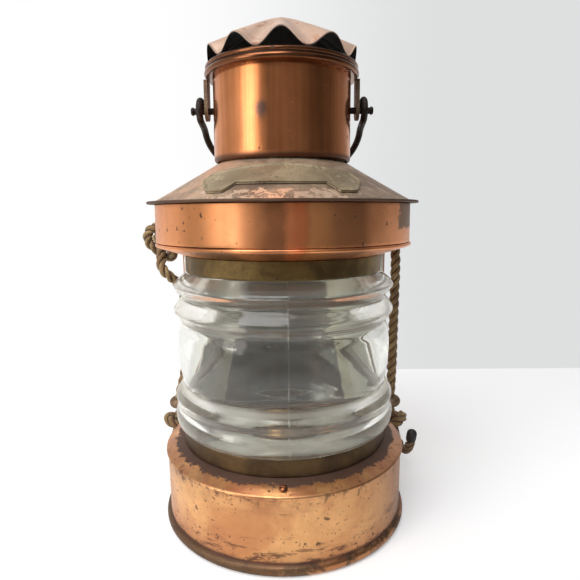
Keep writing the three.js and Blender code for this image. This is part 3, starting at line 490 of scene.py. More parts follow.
def dress(piece: bpy.types.Object, slot: str, *nodes: str, body: Body = Body.LANTERN) -> None:
    """Lets a piece ride on its body and hides the CAD nodes that it stands for.

    Args:
        piece: The piece.
        slot: Not used.
        nodes: CAD nodes that it replaces.
        body: The body that carries it.
    """
    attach(piece, body.value)
    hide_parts(*nodes)
    LOG.info("%s: %d faces on %s", piece.name, len(piece.data.polygons), body.value)


class Recipe:
    """Short calls for the nodes of one tree."""

    def __init__(self, tree: bpy.types.NodeTree) -> None:
        """Keeps the tree that the nodes go into."""
        self.tree = tree

    def node(self, kind: str, inputs: dict[int | str, object] | None = None,
             **properties: object) -> bpy.types.Node:
        """Adds a node, sets its properties and then feeds its inputs.

        Args:
            kind: Node type, without the start that all shader nodes share.
            inputs: Value or socket for the input of each name or number.
            properties: Value of each property.

        Returns:
            The node.
        """
        made = self.tree.nodes.new(f"ShaderNode{kind}")
        for name, value in properties.items():
            setattr(made, name, value)
        for name, value in (inputs or {}).items():
            self.feed(made.inputs[name], value)
        return made

    def feed(self, socket: Socket, value: object) -> None:
        """Links a socket to an input, or sets the input's value.

        Args:
            socket: The input.
            value: A socket or a plain value.
        """
        if isinstance(value, bpy.types.NodeSocket):
            self.tree.links.new(value, socket)
        else:
            socket.default_value = value

    def math(self, operation: str, first: object, second: object = 0.0) -> Socket:
        """One sum on two values."""
        return self.node("Math", {0: first, 1: second}, operation=operation).outputs[0]

    def product(self, *values: object) -> Socket:
        """Product of values."""
        return reduce(partial(self.math, "MULTIPLY"), values)

    def total(self, *values: object) -> Socket:
        """Sum of values."""
        return reduce(partial(self.math, "ADD"), values)

    def most(self, *values: object) -> Socket:
        """Greatest of values."""
        return reduce(partial(self.math, "MAXIMUM"), values)

    def less(self, first: object, second: object) -> Socket:
        """The first value less the second."""
        return self.math("SUBTRACT", first, second)

    def swing(self, noise: Socket, width: float) -> Socket:
        """Noise moved to both sides of nought, times a width."""
        return self.product(self.less(noise, 0.5), width)

    def mix(self, share: object, first: object, second: object) -> Socket:
        """Blend of two colours by a share."""
        return self.node("Mix", {"Factor": share, 6: first, 7: second}, data_type="RGBA").outputs[2]

    def times(self, first: object, second: object) -> Socket:
        """Product of two colours."""
        inputs = {"Factor": 1.0, 6: first, 7: second}
        return self.node("Mix", inputs, data_type="RGBA", blend_type="MULTIPLY").outputs[2]

    def blend(self, share: object, first: object, second: object) -> Socket:
        """Blend of two values by a share."""
        return self.node("Mix", {"Factor": share, 2: first, 3: second}, data_type="FLOAT").outputs[0]

    def rise(self, value: object, low: object, high: object, least: float = 0.0, most: float = 1.0) -> Socket:
        """Smooth step from one output value to another between two input values."""
        inputs = {"Value": value, "From Min": low, "From Max": high, "To Min": least, "To Max": most}
        return self.node("MapRange", inputs, interpolation_type="SMOOTHSTEP").outputs[0]

    def between(self, value: object, low: float, high: float, soft: float) -> Socket:
        """Mask that is 1 between two values and falls to 0 beyond them over a soft margin."""
        return self.hump(value, (low - soft, low + soft), (high + soft, high - soft))

    def hump(self, value: object, start: tuple[float, float], end: tuple[float, float]) -> Socket:
        """Mask that comes in over one range of a value, times one that comes in over another."""
        return self.product(self.rise(value, *start), self.rise(value, *end))

    def ramp(self, value: object, stops: Sequence[tuple[float, float, float, float]]) -> Socket:
        """Colours that follow a value.

        Args:
            value: The value.
            stops: A value and its red, green and blue for each stop, in rising order.

        Returns:
            The colour.
        """
        low, high = stops[0][0], stops[-1][0]
        share = self.node("MapRange", {"Value": value, "From Min": low, "From Max": high}).outputs[0]
        made = self.node("ValToRGB", {"Fac": share})
        elements = made.color_ramp.elements
        elements.remove(elements[1])
        for number, (place, *colour) in enumerate(stops):
            stop = elements[0] if number == 0 else elements.new(1.0)
            stop.position = (place - low) / (high - low)
            stop.color = (*colour, 1)
        return made.outputs["Color"]

    def noise(self, vector: object, scale: object, detail: float = 5.0, roughness: float = 0.6,
              distortion: float = 0.0) -> Socket:
        """Noise value at a place."""
        inputs = dict(Vector=vector, Scale=scale, Detail=detail, Roughness=roughness, Distortion=distortion)
        return self.node("TexNoise", inputs).outputs["Fac"]

    def vectors(self, operation: str, first: object, second: object) -> Socket:
        """One sum on two vectors."""
        return self.node("VectorMath", {0: first, 1: second}, operation=operation).outputs[0]

    def scaled(self, vector: object, *factors: float) -> Socket:
        """Vector multiplied axis by axis."""
        return self.vectors("MULTIPLY", vector, factors)


class Effect(Enum):
    """Shared surface effects, each one a shader node group."""

    ROUND = "round_coordinates"
    BLOTCH = "tarnish_blotches"
    PITS = "corrosion_pits"
    BRUSH = "polish_lines"


class Effects:
    """Builds the shared node groups once and hands them to the finishes."""

    def __init__(self) -> None:
        """Builds every group."""
        self.trees: dict[Effect, bpy.types.NodeTree] = {}
        for build in (self.round_coordinates, self.blotches, self.pits, self.brush):
            build()

    def __getitem__(self, effect: Effect) -> bpy.types.NodeTree:
        """The node tree of an effect."""
        return self.trees[effect]

    def start(self, effect: Effect, vector: str, numbers: dict[str, float],
              outputs: dict[str, str]) -> tuple[Recipe, list[Socket], list[Socket]]:
        """Makes an empty group with named sockets.

        Args:
            effect: The effect that the group is for.
            vector: Name of the first input, which is a vector.
            numbers: Default of each further input by its name.
            outputs: Socket type of each output by its name.

        Returns:
            A recipe for the group, the sockets that it is given and those that it has to feed.
        """
        tree = self.trees[effect] = bpy.data.node_groups.new(effect.value, "ShaderNodeTree")
        tree.interface.new_socket(name=vector, in_out="INPUT", socket_type="NodeSocketVector")
        for name, default in numbers.items():
            made = tree.interface.new_socket(name=name, in_out="INPUT", socket_type="NodeSocketFloat")
            made.default_value = default
        for name, kind in outputs.items():
            tree.interface.new_socket(name=name, in_out="OUTPUT", socket_type=f"NodeSocket{kind}")
        given, out = tree.nodes.new("NodeGroupInput"), tree.nodes.new("NodeGroupOutput")
        return Recipe(tree), given.outputs[:len(numbers) + 1], out.inputs[:len(outputs)]

    def round_coordinates(self) -> None:
        """Unrolls a place to its way round the axis, its radius and its height."""
        outputs = {"Unrolled": "Vector", "Radius": "Float", "Height": "Float", "Angle": "Float"}
        recipe, given, out = self.start(Effect.ROUND, "Vector", {}, outputs)
        x, y, z = recipe.node("SeparateXYZ", {0: given[0]}).outputs
        radius = recipe.math("SQRT", recipe.total(recipe.product(x, x), recipe.product(y, y)))
        angle = recipe.math("ARCTAN2", x, recipe.product(y, -1.0))
        way = recipe.product(angle, UNROLLED_RADIUS)
        joined = recipe.node("CombineXYZ", {0: way, 1: radius, 2: z}).outputs[0]
        for socket, value in zip(out, (joined, radius, z, angle)):
            recipe.feed(socket, value)

    def blotches(self) -> None:
        """Ragged patches: warped noise cut at a level."""
        numbers = {"Scale": 40.0, "Level": 0.5, "Softness": 0.05, "Bias": 0.0}
        recipe, (vector, scale, level, softness, bias), out = self.start(
            Effect.BLOTCH, "Vector", numbers, {"Mask": "Float"})
        value = recipe.total(recipe.noise(vector, scale, 8.0, 0.68, 0.6), bias)
        recipe.feed(out[0], recipe.rise(value, recipe.less(level, softness), recipe.total(level, softness)))

    def pits(self) -> None:
        """Small ragged spots: cells of which a share carry a spot at their middle."""
        numbers = {"Scale": 300.0, "Share": 0.3, "Size": 0.3}
        recipe, (vector, scale, share, size), out = self.start(Effect.PITS, "Vector", numbers,
                                                               {"Mask": "Float"})
        ragged = recipe.node("TexNoise",
                             {"Vector": vector, "Scale": recipe.product(scale, 2.4), "Detail": 3.0})
        push = recipe.vectors("SUBTRACT", ragged.outputs["Color"], (0.5, 0.5, 0.5))
        inputs = {0: push, "Scale": recipe.math("DIVIDE", 0.9, scale)}
        spread = recipe.node("VectorMath", inputs, operation="SCALE").outputs[0]
        cells = recipe.node("TexVoronoi", {"Vector": recipe.vectors("ADD", vector, spread), "Scale": scale})
        chance = recipe.node("SeparateColor", {0: cells.outputs["Color"]})
        chosen = recipe.math("LESS_THAN", chance.outputs[0], share)
        reach = recipe.product(size, recipe.total(0.35, chance.outputs[1]))
        outside = recipe.rise(cells.outputs["Distance"], recipe.product(reach, 0.5), reach)
        recipe.feed(out[0], recipe.product(chosen, recipe.less(1.0, outside)))

    def brush(self) -> None:
        """Fine lines that run round the axis: noise stretched along the unrolled way."""
        recipe, (way,), out = self.start(Effect.BRUSH, "Unrolled", {}, {"Lines": "Float", "Cloud": "Float"})
        recipe.feed(out[0], recipe.noise(recipe.scaled(way, 60.0, 1500.0, 2600.0), 1.0, 3.0, 0.7))
        recipe.feed(out[1], recipe.noise(recipe.scaled(way, 26.0, 60.0, 60.0), 1.0, 5.0, 0.6))


class Surface(Recipe):
    """Recipe of one material, with its coordinates, the shared effects and its colour and dullness so far."""

    def __init__(self, name: str, effects: Effects) -> None:
        """Makes the material.

        Args:
            name: Name of the material.
            effects: The shared node groups.
        """
        self.material = bpy.data.materials.new(name)
        self.material.use_nodes = True
        super().__init__(self.material.node_tree)
        self.effects = effects
        self.shader = self.tree.nodes["Principled BSDF"]
        self.place = self.node("TexCoord").outputs["Object"]
        self.flat, self.radius, self.height, self.angle = self.effect(Effect.ROUND, Vector=self.place)
        self.colour: object = WHITE
        self.dull: object = 0.0

    def effect(self, effect: Effect, **inputs: object) -> Sequence[Socket]:
        """Outputs of a shared effect with these inputs."""
        return self.node("Group", inputs, node_tree=self.effects[effect]).outputs

    def attribute(self, name: str) -> Socket:
        """Value of one of the mesh's own attributes."""
        return self.node("Attribute", attribute_name=name).outputs["Fac"]

    def patches(self, scale: float, detail: float, roughness: float, low: float, high: float,
                place: Socket | None = None) -> Socket:
        """Noise cut softly between two levels, at the surface's place or another."""
        return self.rise(self.noise(place or self.place, scale, detail, roughness), low, high)

    def blotches(self, scale: float, level: float, softness: float, bias: object = 0.0,
                 place: Socket | None = None) -> Socket:
        """Ragged patches, more of them where the bias is high."""
        inputs = dict(Vector=place or self.place, Scale=scale, Level=level, Softness=softness, Bias=bias)
        return self.effect(Effect.BLOTCH, **inputs)[0]

    def pits(self, scale: float, share: object, size: float, place: Socket | None = None) -> Socket:
        """Small ragged spots on a share of the cells."""
        return self.effect(Effect.PITS, Vector=place or self.place, Scale=scale, Share=share, Size=size)[0]

    def lay(self, colour: object, mask: Socket, share: float = 1.0) -> None:
        """Lays a colour over the surface's colour, as far as a share of a mask goes."""
        self.colour = self.mix(mask if share == 1.0 else self.product(mask, share), self.colour, colour)

    def dim(self, mask: Socket, share: float) -> None:
        """Dulls the surface at least as far as a share of a mask goes."""
        self.dull = self.most(self.dull, self.product(mask, share))

    def finish(self, roughness: object, metallic: object = 0.0,
               others: dict[str, object] | None = None) -> None:
        """Feeds the shader with the surface's colour and these inputs.

        Args:
            roughness: Value or socket for the roughness.
            metallic: Value or socket for the metal share.
            others: Value or socket for each further input by its name.
        """
        inputs = {"Base Color": self.colour, "Roughness": roughness, "Metallic": metallic, **(others or {})}
        for name, value in inputs.items():
            self.feed(self.shader.inputs[name], value)

    def bump(self, height: Socket, distance: float, strength: float) -> None:
        """Feeds a height to the shader's normal."""
        made = self.node("Bump", {"Height": height, "Distance": distance, "Strength": strength})
        self.feed(self.shader.inputs["Normal"], made.outputs["Normal"])


@dataclass(frozen=True)
class Finish:
    """A named finish. Each kind says how its surface is painted."""

    name: str

    def build(self, effects: Effects) -> bpy.types.Material:
        """Makes the material and paints it.

        Args:
            effects: The shared node groups.

        Returns:
            The material.
        """
        surface = Surface(self.name, effects)
        self.paint(surface)
        return surface.material

    def paint(self, on: Surface) -> None:
        """Paints a surface. The plain finish leaves it as it is."""


@dataclass(frozen=True)
class WornCopper(Finish):
    """Copper sheet with cloudy tone, polish lines, pits and dark stains."""

    bright: Colour = (0.83, 0.43, 0.23, 1)
    warm: Colour = (0.62, 0.26, 0.115, 1)
    stain: Colour = (0.10, 0.045, 0.032, 1)
    soot: Colour = (0.030, 0.027, 0.024, 1)
    polish: float = 0.30
    spread: float = 0.14
    cloud_scale: float = 28.0
    pit_scale: float = 260.0
    pit_share: float = 0.2
    pit_size: float = 0.3
    stain_level: float = 0.72
    soot_inside: bool = False

    def extra(self, on: Surface) -> None:
        """Adds what one sheet has beyond the common wear. Plain sheets have nothing more."""

    def paint(self, on: Surface) -> None:
        """Lays the common wear, then what the sheet has beyond it, and last the soot inside.

        Args:
            on: The surface.
        """
        lines, cloudy = on.effect(Effect.BRUSH, Unrolled=on.flat)
        cloud = on.noise(on.place, self.cloud_scale, 6.0, 0.62, 0.4)
        on.colour = on.mix(on.rise(cloud, 0.32, 0.68), self.warm, self.bright)
        pits = on.pits(self.pit_scale, self.pit_share, self.pit_size)
        fine = on.pits(self.pit_scale * 2.6, self.pit_share * 0.8, self.pit_size)
        dirt = on.most(pits, on.product(fine, 0.7), on.blotches(70.0, self.stain_level, 0.05))
        on.lay(self.stain, dirt, 0.85)
        on.dull = dirt
        self.extra(on)
        rough = on.blend(on.dull, on.total(self.polish, on.product(cloudy, self.spread)), 0.62)
        metal = on.blend(on.dull, 1.0, 0.55)
        if self.soot_inside:
            sooty = on.rise(on.total(on.attribute("inner"), on.swing(cloud, 0.3)), 0.35, 0.65)
            on.lay(self.soot, sooty)
            rough = on.blend(sooty, rough, 0.6)
            metal = on.blend(sooty, metal, 0.1)
        on.finish(rough, metal)
        on.bump(on.total(on.product(lines, 0.35), on.product(dirt, -1.2)), 0.00005, 0.5)


@dataclass(frozen=True)
class BaseCopper(WornCopper):
    """Base sheet: stains thicken towards the foot, dark tarnish covers the shoulder to a ragged edge, and
    painted shade darkens the right side and the wall under the waist bead.
    """

    tarnish: Colour = (0.085, 0.045, 0.032, 1)
    pale_tarnish: Colour = (0.14, 0.078, 0.055, 1)
    purple: Colour = (0.16, 0.09, 0.14, 1)
    flushed: Colour = (0.50, 0.19, 0.10, 1)
    painted_shade: Colour = (0.36, 0.17, 0.10, 1)
    shade_under_waist: Colour = (0.34, 0.16, 0.085, 1)
    clouded: Colour = (0.46, 0.20, 0.105, 1)
    rusty: Colour = (0.38, 0.17, 0.08, 1)
    scratched: Colour = (0.38, 0.17, 0.09, 1)
    bead: Colour = (0.085, 0.055, 0.033, 1)
    tarnish_radius: float = 0.0605

    def extra(self, on: Surface) -> None:
        """Adds the shoulder's tarnish, the dark foot bead, the stain bands, the purple side, and the painted
        shade on the right side and under the waist bead.

        Args:
            on: The surface.
        """
        height, angle, flat = on.height, on.angle, on.flat
        crumbs = on.swing(on.noise(on.place, 420.0, 5.0, 0.7), 0.0045)
        edge = on.total(on.radius, crumbs, on.swing(on.noise(on.place, 110.0, 9.0, 0.72, 0.8), 0.011))
        top = on.rise(height, 0.0385, 0.0400)
        shoulder = on.product(top, on.rise(edge, self.tarnish_radius + 0.0004, self.tarnish_radius - 0.0004))
        flush = on.product(top, on.patches(75.0, 6.0, 0.65, 0.36, 0.60))
        low = on.rise(height, 0.020, 0.004)
        grime = on.product(on.rise(height, 0.024, 0.008),
                           on.patches(120.0, 9.0, 0.75, 0.53, 0.62, on.scaled(flat, 0.45, 1.0, 2.0)))
        band = on.blotches(130.0, 0.66, 0.04, on.product(low, 0.09), on.scaled(flat, 0.75, 1.0, 1.7))
        dots = on.pits(620.0, on.blend(low, 0.10, 0.36), 0.42, flat)
        clouds = on.patches(38.0, 6.0, 0.62, 0.50, 0.70, on.scaled(flat, 0.7, 1.0, 1.3))
        scratches = on.patches(1.0, 3.0, 0.7, 0.66, 0.74, on.scaled(flat, 18.0, 1.0, 900.0))
        waist = on.hump(height, (0.0300, 0.0375), (0.0405, 0.0385))
        drip = on.blotches(170.0, 0.66, 0.08, on.product(waist, 0.10), on.scaled(on.place, 1.0, 1.0, 0.7))
        drip = on.product(drip, on.rise(height, 0.031, 0.0365))
        bead_left = on.hump(angle, (0.45, -0.25), (-3.0, -2.0))
        bead_tone = on.product(on.rise(height, 0.0070, 0.0056),
                               on.most(bead_left, on.patches(60.0, 8.0, 0.7, 0.46, 0.56)))
        # The crease just above the foot bead is darkened.
        crevice = on.hump(height, (0.0078, 0.0062), (0.0048, 0.0060))
        side = on.product(on.between(angle, 1.05, 1.8, 0.2), on.patches(45.0, 5.0, 0.6, 0.42, 0.6))
        marks = on.most(on.product(band, 0.8), on.product(drip, 0.75), on.product(grime, 0.85),
                        on.product(dots, 0.8))
        # Painted shade under the waist bead: the wall just below it is darkened in patches.
        shade_under_waist_mask = on.product(on.rise(height, 0.0255, 0.0365),
                          on.patches(55.0, 7.0, 0.68, 0.40, 0.62, on.scaled(flat, 1.0, 1.0, 1.5)))
        rust = on.product(low, on.patches(50.0, 7.0, 0.66, 0.36, 0.60))
        on.lay(self.purple, side, 0.6)
        on.lay(self.flushed, flush, 0.65)
        # Painted shade: the right side, towards the back, turned away from the window light, is darkened.
        on.lay(self.painted_shade, on.hump(angle, (0.25, 1.05), (3.0, 2.0)), 0.6)
        on.lay(self.shade_under_waist, shade_under_waist_mask, 0.45)
        on.lay(self.clouded, clouds, 0.4)
        on.lay(self.rusty, rust, 0.55)
        on.lay(self.scratched, scratches, 0.35)
        on.lay(self.stain, marks)
        on.lay(self.bead, bead_tone, 0.88)
        on.lay(self.stain, crevice, 0.75)
        on.lay(on.mix(on.noise(on.place, 60.0, 5.0), self.tarnish, self.pale_tarnish), shoulder)
        on.dim(marks, 0.7)
        on.dim(on.most(bead_tone, crevice), 0.55)
        on.dim(shoulder, 0.8)


@dataclass(frozen=True)
class RoofCopper(WornCopper):
    """Roof sheet: a dull brown-grey film that is worn through in patches above the brim at the front, with
    painted light in pink patches on its left side.
    """

    film: Colour = (0.50, 0.395, 0.285, 1)
    mauve: Colour = (0.20, 0.145, 0.11, 1)
    pink: Colour = (0.76, 0.44, 0.28, 1)
    speck: Colour = (0.10, 0.068, 0.05, 1)
    worn: Colour = (0.78, 0.60, 0.45, 1)
    rim: Colour = (0.055, 0.034, 0.024, 1)

    def extra(self, on: Surface) -> None:
        """Adds the film, the painted light in pink patches on its left side, its worn patches and the dark
        rim of the brim.

        Args:
            on: The surface.
        """
        tone = on.rise(on.noise(on.place, 40.0, 9.0, 0.74, 0.5), 0.38, 0.62)
        film = on.mix(tone, self.mauve, self.film)
        leftward = on.hump(on.angle, (-0.35, -0.95), (-3.0, -2.0))
        # Painted light: pink patches on the left side, which faces the window light.
        painted_light_patches = on.product(leftward, on.patches(52.0, 6.0, 0.65, 0.36, 0.62))
        film = on.mix(on.product(painted_light_patches, 0.75), film, self.pink)
        film = on.mix(on.product(on.pits(520.0, 0.45, 0.36), 0.4), film, self.speck)
        front = on.hump(on.angle, (-0.75, -0.45), (0.62, 0.35))
        belt = on.hump(on.radius, (0.0575, 0.0605), (0.0685, 0.0660))
        patches = on.blotches(230.0, 0.655, 0.03, on.product(front, belt, 0.17))
        on_top = on.rise(on.height, 0.1706, 0.1711)
        cover = on.product(on.less(1.0, patches), on_top)
        rim = on.product(on.rise(on.radius, 0.0669, 0.0678), 0.9)
        on.lay(self.worn, patches)
        on.lay(film, cover, 0.92)
        on.lay(self.rim, rim)
        on.dull = on.most(on.total(on.product(cover, 0.35), on.product(on_top, 0.45)), rim)


@dataclass(frozen=True)
class ChimneyCopper(WornCopper):
    """Chimney sheet: polished, with one grey heat mark, painted shade under the collar and a painted shadow
    at its foot.
    """

    mark: Colour = (0.13, 0.115, 0.13, 1)
    painted_shade: Colour = (0.30, 0.10, 0.035, 1)
    streak: Colour = (0.84, 0.82, 0.81, 1)
    foot: Colour = (0.05, 0.025, 0.018, 1)
    mark_angle: float = -0.26
    mark_height: float = 0.2125

    def extra(self, on: Surface) -> None:
        """Adds upright streaks, the painted shade under the collar, the grey mark and the painted shadow at
        the foot, where the tube curls in on the roof.

        The mark reaches as far as the root of the squares of the ways across and up it, plus a wobble.

        Args:
            on: The surface.
        """
        across = on.product(on.less(on.angle, self.mark_angle), 0.035)
        up = on.less(on.height, self.mark_height)
        wobble = on.product(on.noise(on.place, 260.0, 4.0), 0.004)
        streaks = on.patches(1.0, 4.0, 0.6, 0.36, 0.66, on.scaled(on.flat, 230.0, 1.0, 7.0))
        # Painted shade: a darker band under the collar.
        shade = on.product(on.rise(on.height, 0.224, 0.235), on.patches(60.0, 5.0, 0.6, 0.3, 0.6))
        reach = on.math("SQRT", on.total(on.product(across, across), on.product(up, up, 0.45)))
        # Painted shadow: the foot, where the tube curls in on the roof, is darkened and dulled.
        foot = on.rise(on.height, 0.1948, 0.1922)
        on.colour = on.times(on.colour, on.mix(streaks, self.streak, WHITE))
        on.lay(self.painted_shade, shade, 0.35)
        on.lay(self.mark, on.rise(on.total(reach, wobble), 0.0062, 0.0028), 0.7)
        on.lay(self.foot, foot, 0.85)
        on.dim(foot, 0.5)


@dataclass(frozen=True)
class CollarCopper(WornCopper):
    """Collar sheet: dark polished copper with black lines between its beads and under its rim: painted shade,
    with some dirt.
    """

    dirt: Colour = (0.02, 0.011, 0.008, 1)
    groove_height: float = 0.23625

    def extra(self, on: Surface) -> None:
        """Adds the dark lines: painted shade, with some dirt.

        Args:
            on: The surface.
        """
        level = on.total(on.height, on.swing(on.noise(on.place, 130.0, 4.0), 0.0006))
        # Painted shade, with some dirt: dark lines in the groove between the beads and along the top bead.
        groove = on.between(level, self.groove_height - 0.0004, self.groove_height + 0.0004, 0.0003)
        top = on.between(level, 0.23775, 0.2383, 0.00025)
        lines = on.product(on.most(groove, on.product(top, 0.7)), 0.9)
        on.lay(self.dirt, lines)
        on.dim(lines, 0.6)


@dataclass(frozen=True)
class DrumCopper(WornCopper):
    """Drum sheet: satin with small pits, upright stripes of painted reflection and highlight, and one grey
    patch at the upper right.

    Each band is an angle and the red, green and blue by which the sheet's colour is multiplied there.
    """

    patch: Colour = (0.13, 0.12, 0.10, 1)
    reflection_bands: tuple[tuple[float, float, float, float], ...] = (
        (-3.15, 0.8, 0.8, 0.8), (-2.5, 0.65, 0.62, 0.6), (-1.3, 0.8, 0.8, 0.8), (-1.2, 0.84, 0.82, 0.8),
        (-0.95, 1, 0.97, 0.95), (-0.78, 1, 0.97, 0.93), (-0.66, 0.62, 0.60, 0.54), (-0.54, 0.42, 0.40, 0.36),
        (-0.45, 0.39, 0.37, 0.35), (-0.36, 0.50, 0.48, 0.46), (-0.28, 1, 0.96, 0.92), (-0.17, 0.9, 0.84, 0.8),
        (-0.08, 0.50, 0.44, 0.42), (0.0, 0.52, 0.46, 0.44), (0.05, 1, 0.76, 0.68), (0.13, 1, 0.68, 0.58),
        (0.16, 0.84, 0.68, 0.6), (0.19, 1, 0.96, 0.86), (0.28, 0.96, 0.92, 0.82), (0.36, 0.72, 0.68, 0.66),
        (0.56, 0.6, 0.57, 0.56), (0.66, 0.98, 0.94, 0.94), (0.86, 1, 0.98, 1), (1.5, 0.7, 0.68, 0.66),
        (3.15, 0.8, 0.8, 0.8))

    def extra(self, on: Surface) -> None:
        """Adds the painted reflections and highlights, and the grey patch.

        Args:
            on: The surface.
        """
        sway = on.swing(on.noise(on.place, 48.0, 5.0), 0.16)
        # Painted reflections and highlights: stripes by angle round the axis, where the room and lamps are
        # mirrored.
        on.colour = on.times(on.colour, on.ramp(on.total(on.angle, sway), self.reflection_bands))
        ragged = on.swing(on.noise(on.place, 160.0, 6.0), 0.35)
        upper = on.rise(on.total(on.height, on.product(ragged, 0.012)), 0.1570, 0.1588)
        patch = on.product(on.hump(on.total(on.angle, ragged), (0.92, 0.98), (1.45, 1.36)), upper)
        on.lay(self.patch, patch, 0.75)
        on.dim(patch, 0.6)


@dataclass(frozen=True)
class TarnishedBrass(Finish):
    """Brass under an olive-brown film, with dark specks and a few brighter rubs."""

    film: Colour = (0.23, 0.155, 0.055, 1)
    deep: Colour = (0.10, 0.065, 0.026, 1)
    rub: Colour = (0.50, 0.35, 0.13, 1)
    speck: Colour = (0.02, 0.014, 0.008, 1)
    rub_level: float = 0.74
    roughness: float = 0.42
    metallic: float = 0.85

    def paint(self, on: Surface) -> None:
        """Lays the rubs and the specks over the film.

        Args:
            on: The surface.
        """
        lines, cloudy = on.effect(Effect.BRUSH, Unrolled=on.flat)
        tone = on.rise(on.noise(on.place, 55.0, 7.0, 0.66, 0.3), 0.34, 0.66)
        on.colour = on.mix(tone, self.deep, self.film)
        rubs = on.blotches(120.0, self.rub_level, 0.06)
        specks = on.pits(420.0, 0.4, 0.34)
        on.lay(self.rub, rubs, 0.65)
        on.lay(self.speck, specks, 0.55)
        rough = on.total(self.roughness, on.product(cloudy, 0.12))
        on.finish(on.blend(rubs, rough, self.roughness - 0.08), on.blend(specks, self.metallic, 0.3))
        on.bump(on.less(on.product(lines, 0.4), specks), 0.00006, 0.5)


@dataclass(frozen=True)
class DarkMetal(Finish):
    """Dark metal with a mottled skin and lighter rubs: iron wire, or thick brown tarnish."""

    base: Colour = (0.028, 0.022, 0.02, 1)
    rub: Colour = (0.10, 0.08, 0.07, 1)
    roughness: float = 0.5
    metallic: float = 0.8

    def paint(self, on: Surface) -> None:
        """Lays the mottle and the rubs over the dark metal.

        Args:
            on: The surface.
        """
        mottle = on.patches(210.0, 6.0, 0.65, 0.4, 0.68)
        rubs = on.blotches(320.0, 0.6, 0.07)
        on.colour = on.mix(on.most(on.product(mottle, 0.5), rubs), self.base, self.rub)
        on.finish(on.blend(rubs, self.roughness + 0.1, self.roughness - 0.08), self.metallic)
        on.bump(on.noise(on.place, 900.0, 4.0), 0.00008, 0.5)


@dataclass(frozen=True)
class SootAndReflectionTin(Finish):
    """Shield sheet: copper outside, and tinned inside with a dark cloud in the middle that widens downwards:
    a painted reflection of the dim room in front, with some soot.
    """

    tin: Colour = (0.96, 0.96, 0.93, 1)
    grey_tin: Colour = (0.82, 0.81, 0.76, 1)
    beige: Colour = (0.80, 0.76, 0.64, 1)
    soot: Colour = (0.017, 0.015, 0.014, 1)
    grey_soot: Colour = (0.048, 0.044, 0.040, 1)
    brown_soot: Colour = (0.05, 0.028, 0.02, 1)
    rust: Colour = (0.10, 0.045, 0.03, 1)
    copper: Colour = (0.66, 0.30, 0.145, 1)
    stained: Colour = (0.2, 0.09, 0.05, 1)
    inside_radius: float = 0.0630

    def paint(self, on: Surface) -> None:
        """Paints both faces of the wall, which differ by radius alone.

        The dark cloud, a painted reflection of the dim room in front with some soot, covers the tin as far
        across as a half width that changes with the height and is widest at the bottom.

        Args:
            on: The surface.
        """
        across = on.math("ABSOLUTE", on.node("SeparateXYZ", {0: on.place}).outputs[0])
        half_width = on.rise(on.height, 0.118, 0.050, 0.029, 0.041)
        wisps = on.swing(on.noise(on.scaled(on.place, 1.0, 1.0, 0.25), 70.0, 6.0), 0.005)
        beyond = on.less(on.total(across, wisps), half_width)
        # Painted reflection of the dim room in front, with some soot: the dark middle of the tinned face.
        soot = on.rise(beyond, 0.001, -0.001)
        streaks = on.patches(130.0, 4.0, 0.6, 0.42, 0.68, on.scaled(on.place, 1.0, 1.0, 0.07))
        grey = on.mix(streaks, self.soot, self.grey_soot)
        grey = on.mix(on.product(on.patches(75.0, 6.0, 0.62, 0.48, 0.62), 0.6), grey, self.brown_soot)
        low = on.product(on.rise(on.height, 0.066, 0.052), on.patches(60.0, 5.0, 0.6, 0.38, 0.58))
        grey = on.mix(low, grey, self.rust)
        tinned = on.mix(on.patches(40.0, 6.0, 0.6, 0.4, 0.75), self.tin, self.grey_tin)
        tinned = on.mix(on.rise(beyond, 0.009, 0.005), tinned, self.beige)
        outer = on.mix(on.blotches(60.0, 0.62, 0.06), self.copper, self.stained)
        inward = on.rise(on.radius, self.inside_radius + 0.0001, self.inside_radius - 0.0001)
        on.colour = on.mix(inward, outer, on.mix(soot, tinned, grey))
        on.finish(on.blend(inward, 0.36, on.blend(soot, 0.26, 0.6)),
                  on.blend(inward, 1.0, on.blend(soot, 0.15, 0.02)))
        on.bump(on.noise(on.place, 180.0, 5.0), 0.0002, 0.35)


